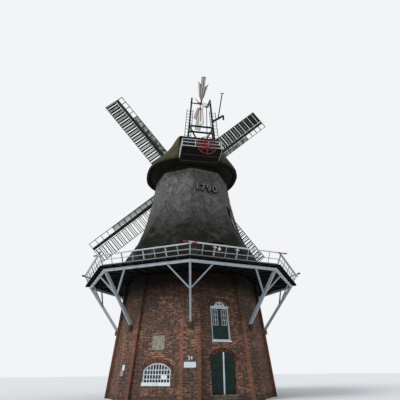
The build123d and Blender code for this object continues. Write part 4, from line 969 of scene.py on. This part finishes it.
# Old reed: brownish grey, darkened nearly to black towards the foot by moss and painted shade, and pale
# at the newer band on top.
smock_material = reed(
    "weathered_smock_reed", ((0.32, "2c2b2a"), (0.45, "4c4a49"), (0.54, "686665"), (0.68, "969493")),
    "1a1914", 10.0, 15.4, pale_low=16.72)
reed_coat("smock_reed", "tower", smock_material, ("smock_foot_thatch", "smock_thatch"),
          reed_voxel, 4, 0.06)
# Brown stain on pine: dark and warm.
brown_boards = timber("brown_stained_pine", "35221b", "483026", "1c120e")
# Tarred boards: black and dull, each a shade of its own.
black_boards = timber("tar_black_boards", "191817", "262422", "0e0d0c", grain=(22, 22, 1.6), roughness=0.7,
                      tone_share=0.4)
dress(brown_boards, "gallery_door")
dress(black_boards, "gallery_door_hood", "smock_hatch")
# Oak gone dark with age under the cap, and unpainted floor planks, grey-brown with dust.
dress(timber("old_oak", "1b1612", "2a221b", "0f0c0a"), "smock_curb", "cap_curb", "cap_sheers", "shaft_frames",
      "chain_wheel_block")
dress(timber("bare_planks", "6f6456", "857968", "423a31"),
      "ground_floor", "upper_floor", "stage_floor_inside")

hatch_out = 3.37
hatch_along = -0.3
hatch_low = 12.85
hatch_half = 0.3
hatch_tall = 1.0
lay_out(
    "hatch_trim", "tower", "dark_boards", black_boards,
    (block(0.07, 0.16, hatch_tall + 0.1, 0.01), [
        side_place(1, hatch_along + side * (hatch_half + 0.02), hatch_out + 0.02, hatch_low + hatch_tall / 2)
        for side in (-1, 1)]),
    (block(2 * hatch_half + 0.2, 0.22, 0.06, 0.01), [
        side_place(1, hatch_along, hatch_out + 0.03, hatch_low + hatch_tall + 0.03)]),
    (block(0.13, 0.014, hatch_tall - 0.03, 0.004), [
        side_place(1, hatch_along + step * 0.14, hatch_out + 0.008, hatch_low + hatch_tall / 2)
        for step in (-1.5, -0.5, 0.5, 1.5)]),
)
# Sheet lead: soft light grey, dulled by the weather.
sheet_lead = timber("sheet_lead", "777b78", "8f928d", "545653", grain=(5, 5, 5))
lay_out(
    "lead_flashing", "tower", "iron", sheet_lead,
    (block(0.28, 0.05, 0.95, 0.012), [
        side_place(1, hatch_along - 0.2, hatch_out + 0.5, hatch_low - 0.46) @ Matrix.Rotation(-0.3, 4, "X")]),
)
lay_out(
    "gallery_door_boards", "tower", "brown_wood", brown_boards,
    (block(0.135, 0.014, 1.86, 0.004), [
        side_place(0, -0.02 + (step - 2.5) * 0.14, 5.088, deck_top + 0.95) for step in range(6)]),
)

# Cut wooden figures, pale in front, on wider ones painted black that give them an edge and a painted shadow.
smock_figures = "1790"
figure_size = 0.66
figure_height = 15.05
figure_radius = 3.435 * math.cos(half_corner)
lean_low = 13.5                # the smock's corner radius shrinks from 3.78 here to 3.157 at its top
smock_lean = math.atan((3.78 - 3.157) / (smock_top - lean_low) * math.cos(half_corner))
figure_place = (side_place(0, -0.03, figure_radius + 0.03, figure_height)
                @ Matrix.Rotation(-smock_lean, 4, "X"))
front_place = figure_place @ Matrix.Translation((-0.02, -0.1, 0.02))
# Oak bleached by the weather: silver-grey and dull.
figure_oak = timber("weathered_oak_figures", "6b6660", "827c76", "393532")
lay_out("smock_figures", "tower", "stone", figure_oak,
        (numerals(smock_figures, figure_size, 0.05), [front_place]))
# The black copy behind is a black edge and a painted shadow round the figures.
lay_out("smock_figure_backs", "tower", "dark_boards", black_boards,
        (numerals(smock_figures, figure_size, 0.16, 0.036), [figure_place]))


# Cap
# The same reed over a boat-shaped oak frame, thicker and mossier than the smock's. Its cut eaves and
# underside never see the sun, and that shade is painted in nearly black. Head, tail and soffit are closed
# with tarred boards.
cap_yaw = math.radians(12.4)
platform_height = 17.75
soffit_low = 17.2
soffit_start = 3.2
soffit_lean = math.atan((17.655 - soffit_low) / 1.9)
cap_voxel = 0.06
wall_board_pitch = 0.195
wall_board_behind = 3.643
wall_board_middle = 0.77       # over the platform
soffit_board_pitch = 0.206
soffit_middle = 4.16

# The cap's reed: olive with moss over brown, with painted shade nearly black on its underside.
cap_material = reed(
    "mossy_cap_reed", ((0.32, "2a2822"), (0.46, "4a4639"), (0.58, "6a6450"), (0.74, "8f8770")),
    "3a3c28", 14.5, 22.5, dark_under=True)
reed_coat("cap_reed", "cap", cap_material, ("cap_thatch",), cap_voxel, 8, 0.05)
dress(black_boards, "cap_breast", "cap_tail_wall", "cap_soffit", "tail_soffit")


def cap_place(across, behind, height):
    """Place on the cap: x runs to its right hand and y towards the sails."""
    return Matrix.Rotation(-cap_yaw, 4, "Z") @ Matrix.Translation((across, -behind, height))


def soffit_height(behind):
    """Underside of the tail's soffit, at a distance behind the mill's axis."""
    return soffit_low + (behind - soffit_start) * math.tan(soffit_lean) - 0.035


lay_out(
    "tail_wall_boards", "cap", "dark_boards", black_boards,
    (block(0.19, 0.016, 1.5, 0.004), [
        cap_place((number - 7.5) * wall_board_pitch, wall_board_behind, platform_height + wall_board_middle)
        for number in range(16)]),
)
lay_out(
    "tail_soffit_boards", "cap", "dark_boards", black_boards,
    (block(0.2, 1.84, 0.012, 0.003), [
        cap_place((number - 7.0) * soffit_board_pitch, soffit_middle, soffit_height(soffit_middle) - 0.006)
        @ Matrix.Rotation(-soffit_lean, 4, "X") for number in range(15)]),
)
# Battens left bare: grey, so that they stand out from the tar.
bare_battens = timber("bare_soffit_battens", "43413e", "5a5753", "22201e")
lay_out(
    "soffit_battens", "cap", "dark_boards", bare_battens,
    (block(3.1, 0.06, 0.035, 0.006), [
        cap_place(0, behind, soffit_height(behind) - 0.028) @ Matrix.Rotation(-soffit_lean, 4, "X")
        for behind in (3.62, 4.3)]),
)


# Tail
# The platform that the fan stage stands on, with white painted side boards and railing. Its deck is laid
# crosswise in grey boards like the gallery's.
tail_deck_start = 3.78
tail_deck_step = 0.146
# White paint flaking off pine: the grey wood shows through.
worn_white = timber("worn_white_pine", "c9ced1", "9a9c98", "55564f", tone_share=0.2)
dress(worn_white, "tail_side_boards", "tail_railing", "tail_platform")
lay_out(
    "tail_deck_boards", "cap", "floor_wood", deck_grey,
    (block(3.05, 0.14, deck_plank, deck_edge), [
        cap_place(0, tail_deck_start + number * tail_deck_step, platform_height + deck_plank / 2)
        for number in range(9)]),
)


# Chain wheel
# A wooden wheel for the striking chain, painted red. Guides stand on its rim and keep the chain in its
# run, and an eight-sided ring of braces is bolted over the spokes.
wheel_across = 0.35
wheel_behind = 5.25
wheel_height = 17.8
wheel_radius = 0.79
# Iron oxide red on wood: faded towards pink where the sun reaches it.
red_paint = timber("iron_oxide_red", "7d2027", "a04848", "3a1618", grain=(12, 12, 12))
dress(red_paint, "chain_wheel")
wheel_place = cap_place(wheel_across, wheel_behind, wheel_height)
brace_reach = 0.45
lay_out(
    "wheel_braces", "chain_wheel", "red_paint", red_paint,
    (block(2 * brace_reach * math.sin(half_corner), 0.03, 0.045, 0.006), [
        wheel_place @ Matrix.Rotation(math.radians(45 * number), 4, "Y")
        @ Matrix.Translation((0, -0.034, brace_reach * math.cos(half_corner))) for number in range(8)]),
)
lay_out(
    "wheel_guides", "chain_wheel", "red_paint", red_paint,
    (block(0.03, 0.09, 0.07, 0.006, taper=0.5), [
        wheel_place @ Matrix.Rotation(math.radians(22.5 * number), 4, "Y")
        @ Matrix.Translation((0, 0, wheel_radius - 0.012)) for number in range(16)]),
)


# Fan stage
# Two leaning legs with bars, braces and stays of square pitch pine, painted a blue-green so dark that
# it reads as black. A ladder climbs each leg nearly to the axle, and iron bolts hold the joints.
stage_across = 1.15
stage_behind = 4.8
# Hard glossy paint between blue and green, almost black in the shade.
stage_paint = timber("black_blue_green_paint", "10282b", "1b383b", "0a1314", grain=(14, 14, 4),
                     roughness=0.4)
dress(stage_paint, "fan_frame", "fan_ladders", "fan_lever", "weather_pole")
dress(iron, "fan_drive_shaft")
leg_top = 22.65
leg_top_across = 0.77
leg_slope = (stage_across - leg_top_across) / (leg_top - platform_height)
fan_height = 22.14


def leg_across(height):
    return stage_across - (height - platform_height) * leg_slope


ladder_joint = 20.28           # the ladders of the frame end here, and these tops go on
ladder_top = 21.4
rung_step = 0.3
ladder_shift = 0.06
ladder_behind = stage_behind + 0.0878
rung_places = []
stile_places = []
for side in (-1, 1):
    for number in range(8, 12):
        height = platform_height + (number + 0.5) * rung_step
        rung_places.append(cap_place(side * (leg_across(height) + ladder_shift), ladder_behind, height))
    for edge in (-0.25, 0.25):
        middle = (ladder_joint + ladder_top) / 2
        stile_places.append(
            cap_place(side * (leg_across(middle) + ladder_shift) + edge, ladder_behind, middle)
            @ Matrix.Rotation(-side * math.atan(leg_slope), 4, "Y"))
lay_out(
    "ladder_tops", "cap", "blue_green_paint", stage_paint,
    (block(0.5, 0.03, 0.03, 0.005), rung_places),
    (block(0.045, 0.045, ladder_top - ladder_joint, 0.006), stile_places),
)
# The lever rises outwards from the leg. A short piece hangs at its end, and the pole stands on it.
lever_foot, lever_low = 0.94, 20.44
lever_end, lever_high = 1.9, 21.18
lever_run = Vector((lever_end - lever_foot, 0, lever_high - lever_low))
lever_turn = Matrix.Rotation(-math.atan2(lever_run.z, lever_run.x), 4, "Y")
lay_out(
    "lever_cheeks", "cap", "blue_green_paint", stage_paint,
    (block(lever_run.length - 0.12, 0.13, 0.15, 0.012), [
        cap_place(lever_foot + lever_run.x / 2 + 0.03, stage_behind, lever_low + lever_run.z / 2 + 0.023)
        @ lever_turn]),
    (block(0.13, 0.13, 0.36, 0.012), [cap_place(lever_end, stage_behind, 20.98)]),
    (block(0.085, 0.085, 2.6, 0.01), [
        cap_place(1.665, stage_behind, 22.19) @ Matrix.Rotation(math.atan2(0.45, 2.735), 4, "Y")]),
)
low_bars = (19.27, 19.83)
bolt_places = []
for height in low_bars:
    for side in (-1, 1):
        for face in (-0.067, 0.067):
            bolt_places.append(cap_place(side * leg_across(height), stage_behind + face, height)
                               @ Matrix.Diagonal((0.026, 0.03, 0.026, 1)))
for side in (-1, 1):
    bolt_places.append(cap_place(side * leg_across(fan_height), stage_behind + 0.069, fan_height)
                       @ Matrix.Diagonal((0.06, 0.05, 0.075, 1)))
lay_out("stage_bolts", "cap", "iron", iron, (disc(8, 0.12), bolt_places))


# Fantail
# Eight thin deal blades, cream white, with dark edge laths and a batten over each red arm. The arms meet
# in a cast-iron boss on a dark axle, and a bevel gear on it drives the shaft down the stage.
fan_pitch = math.radians(-42)
blade_root = 0.62
blade_tip = 2.2
dress(red_paint, "fan_hub")
# Cream white paint on thin deal: pale, with grey where it has worn.
cream = timber("cream_white_paint", "d8dad2", "bcbdb2", "74756b", grain=(16, 16, 3), tone_share=0.25)
dress(cream, "fan_blades")


def blade_place(number):
    """Place on a fan blade: z runs out along the arm, x over the blade's width and y through it."""
    turn = Matrix.Rotation(math.radians(45 * number), 4, "X")
    lay = Matrix.Rotation(math.radians(90), 4, "Z") @ Matrix.Rotation(fan_pitch, 4, "Z")
    return cap_place(0, stage_behind, fan_height) @ turn @ lay


blade_length = blade_tip - blade_root
tip_half = 0.31
root_half = 0.19
edge_lean = math.atan((tip_half - root_half) / blade_length)
lath_places = []
batten_places = []
for number in range(8):
    for side in (-1, 1):
        middle = Matrix.Translation((side * 0.243, 0.035, (blade_root + blade_tip) / 2))
        lath_places.append(blade_place(number) @ middle @ Matrix.Rotation(side * edge_lean, 4, "Y"))
    batten_places.append(blade_place(number) @ Matrix.Translation((0, 0.035, blade_tip - 0.03)))
lay_out(
    "fan_blade_laths", "fantail", "blue_green_paint", stage_paint,
    (block(0.03, 0.034, blade_length, 0.005), lath_places),
    (block(0.6, 0.034, 0.035, 0.005), batten_places),
)
lay_out(
    "fan_arm_battens", "fantail", "red_paint", red_paint,
    (block(0.06, 0.03, 1.2, 0.006), [
        blade_place(number) @ Matrix.Translation((0, 0.06, blade_root + 0.58)) for number in range(8)]),
)
boss_place = cap_place(0, stage_behind, fan_height) @ Matrix.Rotation(math.radians(90), 4, "Z")
lay_out(
    "fan_boss", "fantail", "iron", iron,
    (disc(24, 0.15), [
        boss_place @ Matrix.Translation((0, across, 0)) @ Matrix.Diagonal((0.15, 0.05, 0.15, 1))
        for across in (-0.088, 0.088)]
     + [boss_place @ Matrix.Translation((0, -0.63, 0)) @ Matrix.Diagonal((0.24, 0.1, 0.24, 1))]),
)
lay_out(
    "fan_axle_sleeves", "fantail", "iron", iron,
    (disc(16, 0.1), [
        boss_place @ Matrix.Translation((0, across, 0)) @ Matrix.Diagonal((0.048, 1.32, 0.048, 1))
        for across in (-0.41, 0.41)]),
)


# Sails
# Pitch-pine stocks tapered towards their tips, with ash crossbars through them and a lath down each edge,
# all under one dark green paint. Canvas-covered shutters hang in each bay, and grey boards, green with
# moss where they pass the cap, close the leading side.
hub = Vector((0.92832, 4.22214, 19.519))
shaft_direction = Vector((0.21148, 0.96183, 0.17365))
sail_phase = 41.7
sail_reach = 11.22
stock_offset = 0.2             # the stocks cross this far before and behind the hub's middle
# Dark green paint on pitch pine: it looks black against the sky.
sail_paint = timber("black_green_sail_paint", "1b2621", "2c3a31", "0f1411", grain=(12, 12, 12))
# Tarred canvas on wooden frames: rough, and grey where the tar has worn.
shutter_canvas = timber("tar_black_shutter_canvas", "2b302d", "434945", "161918", grain=(18, 18, 18),
                        roughness=0.8)
dress(sail_paint, "inner_stock", "outer_stock", "sail_frames")
dress(shutter_canvas, "sail_shutters")
# Grey painted boards: pale and dull, stained green with moss low down.
board_material, board_tree, board_shader = new_material("mossy_leading_board", 0.8)
board_place = add_node(board_tree, "TexCoord")
board_spot = add_node(board_tree, "SeparateXYZ", {0: board_place.outputs["Object"]})
board_stains = add_node(board_tree, "TexNoise", {
    "Vector": board_place.outputs["Object"], "Scale": 2.6, "Detail": 6.0, "Roughness": 0.65})
board_grey = add_node(board_tree, "ValToRGB", {"Fac": board_stains})
set_tones(board_grey, ((0.35, "b8bdbc"), (0.5, "d9dddc"), (0.65, "ecefee")))
board_high = add_node(board_tree, "MapRange", {
    "Value": board_spot.outputs["Z"], "From Min": 17.5, "From Max": 20.5, "To Min": -0.25, "To Max": 0.12})
board_mossy = add_node(board_tree, "Math", {0: board_stains, 1: board_high}, operation="ADD")
board_share = add_node(board_tree, "MapRange", {"Value": board_mossy, "From Min": 0.5, "From Max": 0.72})
board_tone = add_node(board_tree, "Mix", {0: board_share, 6: board_grey.outputs["Color"], 7: srgb("4d5733")},
                      data_type="RGBA")
finish(board_tree, board_shader, board_tone.outputs[2])
dress(board_material, "leading_boards")
dress(iron, "windshaft", "striking_spider")

cap_right = Vector((math.cos(cap_yaw), -math.sin(cap_yaw), 0))
sail_up = cap_right.cross(shaft_direction)


def sail_place(number, reach, across, out):
    """Place on one sail: x runs out along the stock, z over to the shutters and y away from the wind."""
    turn = math.radians(sail_phase + 90 * number)
    arm = cap_right * math.cos(turn) + sail_up * math.sin(turn)
    over = (-shaft_direction).cross(arm)
    offset = stock_offset if number % 2 == 0 else -stock_offset
    spot = hub + arm * reach + over * across - shaft_direction * (out + offset)
    return Matrix.Translation(spot) @ Matrix((arm, -shaft_direction, over)).transposed().to_4x4()


clamp_reaches = (0.62, 1.2, 1.75)
clamp_grip = 0.03              # how far a clamp stands off the stock, both sides together
clamp_places = []
for number in range(4):
    for reach in clamp_reaches:
        # The stocks taper from 0.38 by 0.3 at the hub to 0.25 by 0.15 at the tip.
        width = 0.38 - 0.13 * reach / sail_reach
        depth = 0.3 - 0.15 * reach / sail_reach
        size = Matrix.Diagonal((1, depth + clamp_grip, width + clamp_grip, 1))
        clamp_places.append(sail_place(number, reach, 0, 0) @ size)
lay_out("stock_clamps", "sails", "iron", iron, (block(0.09, 1.0, 1.0, 0.012), clamp_places))
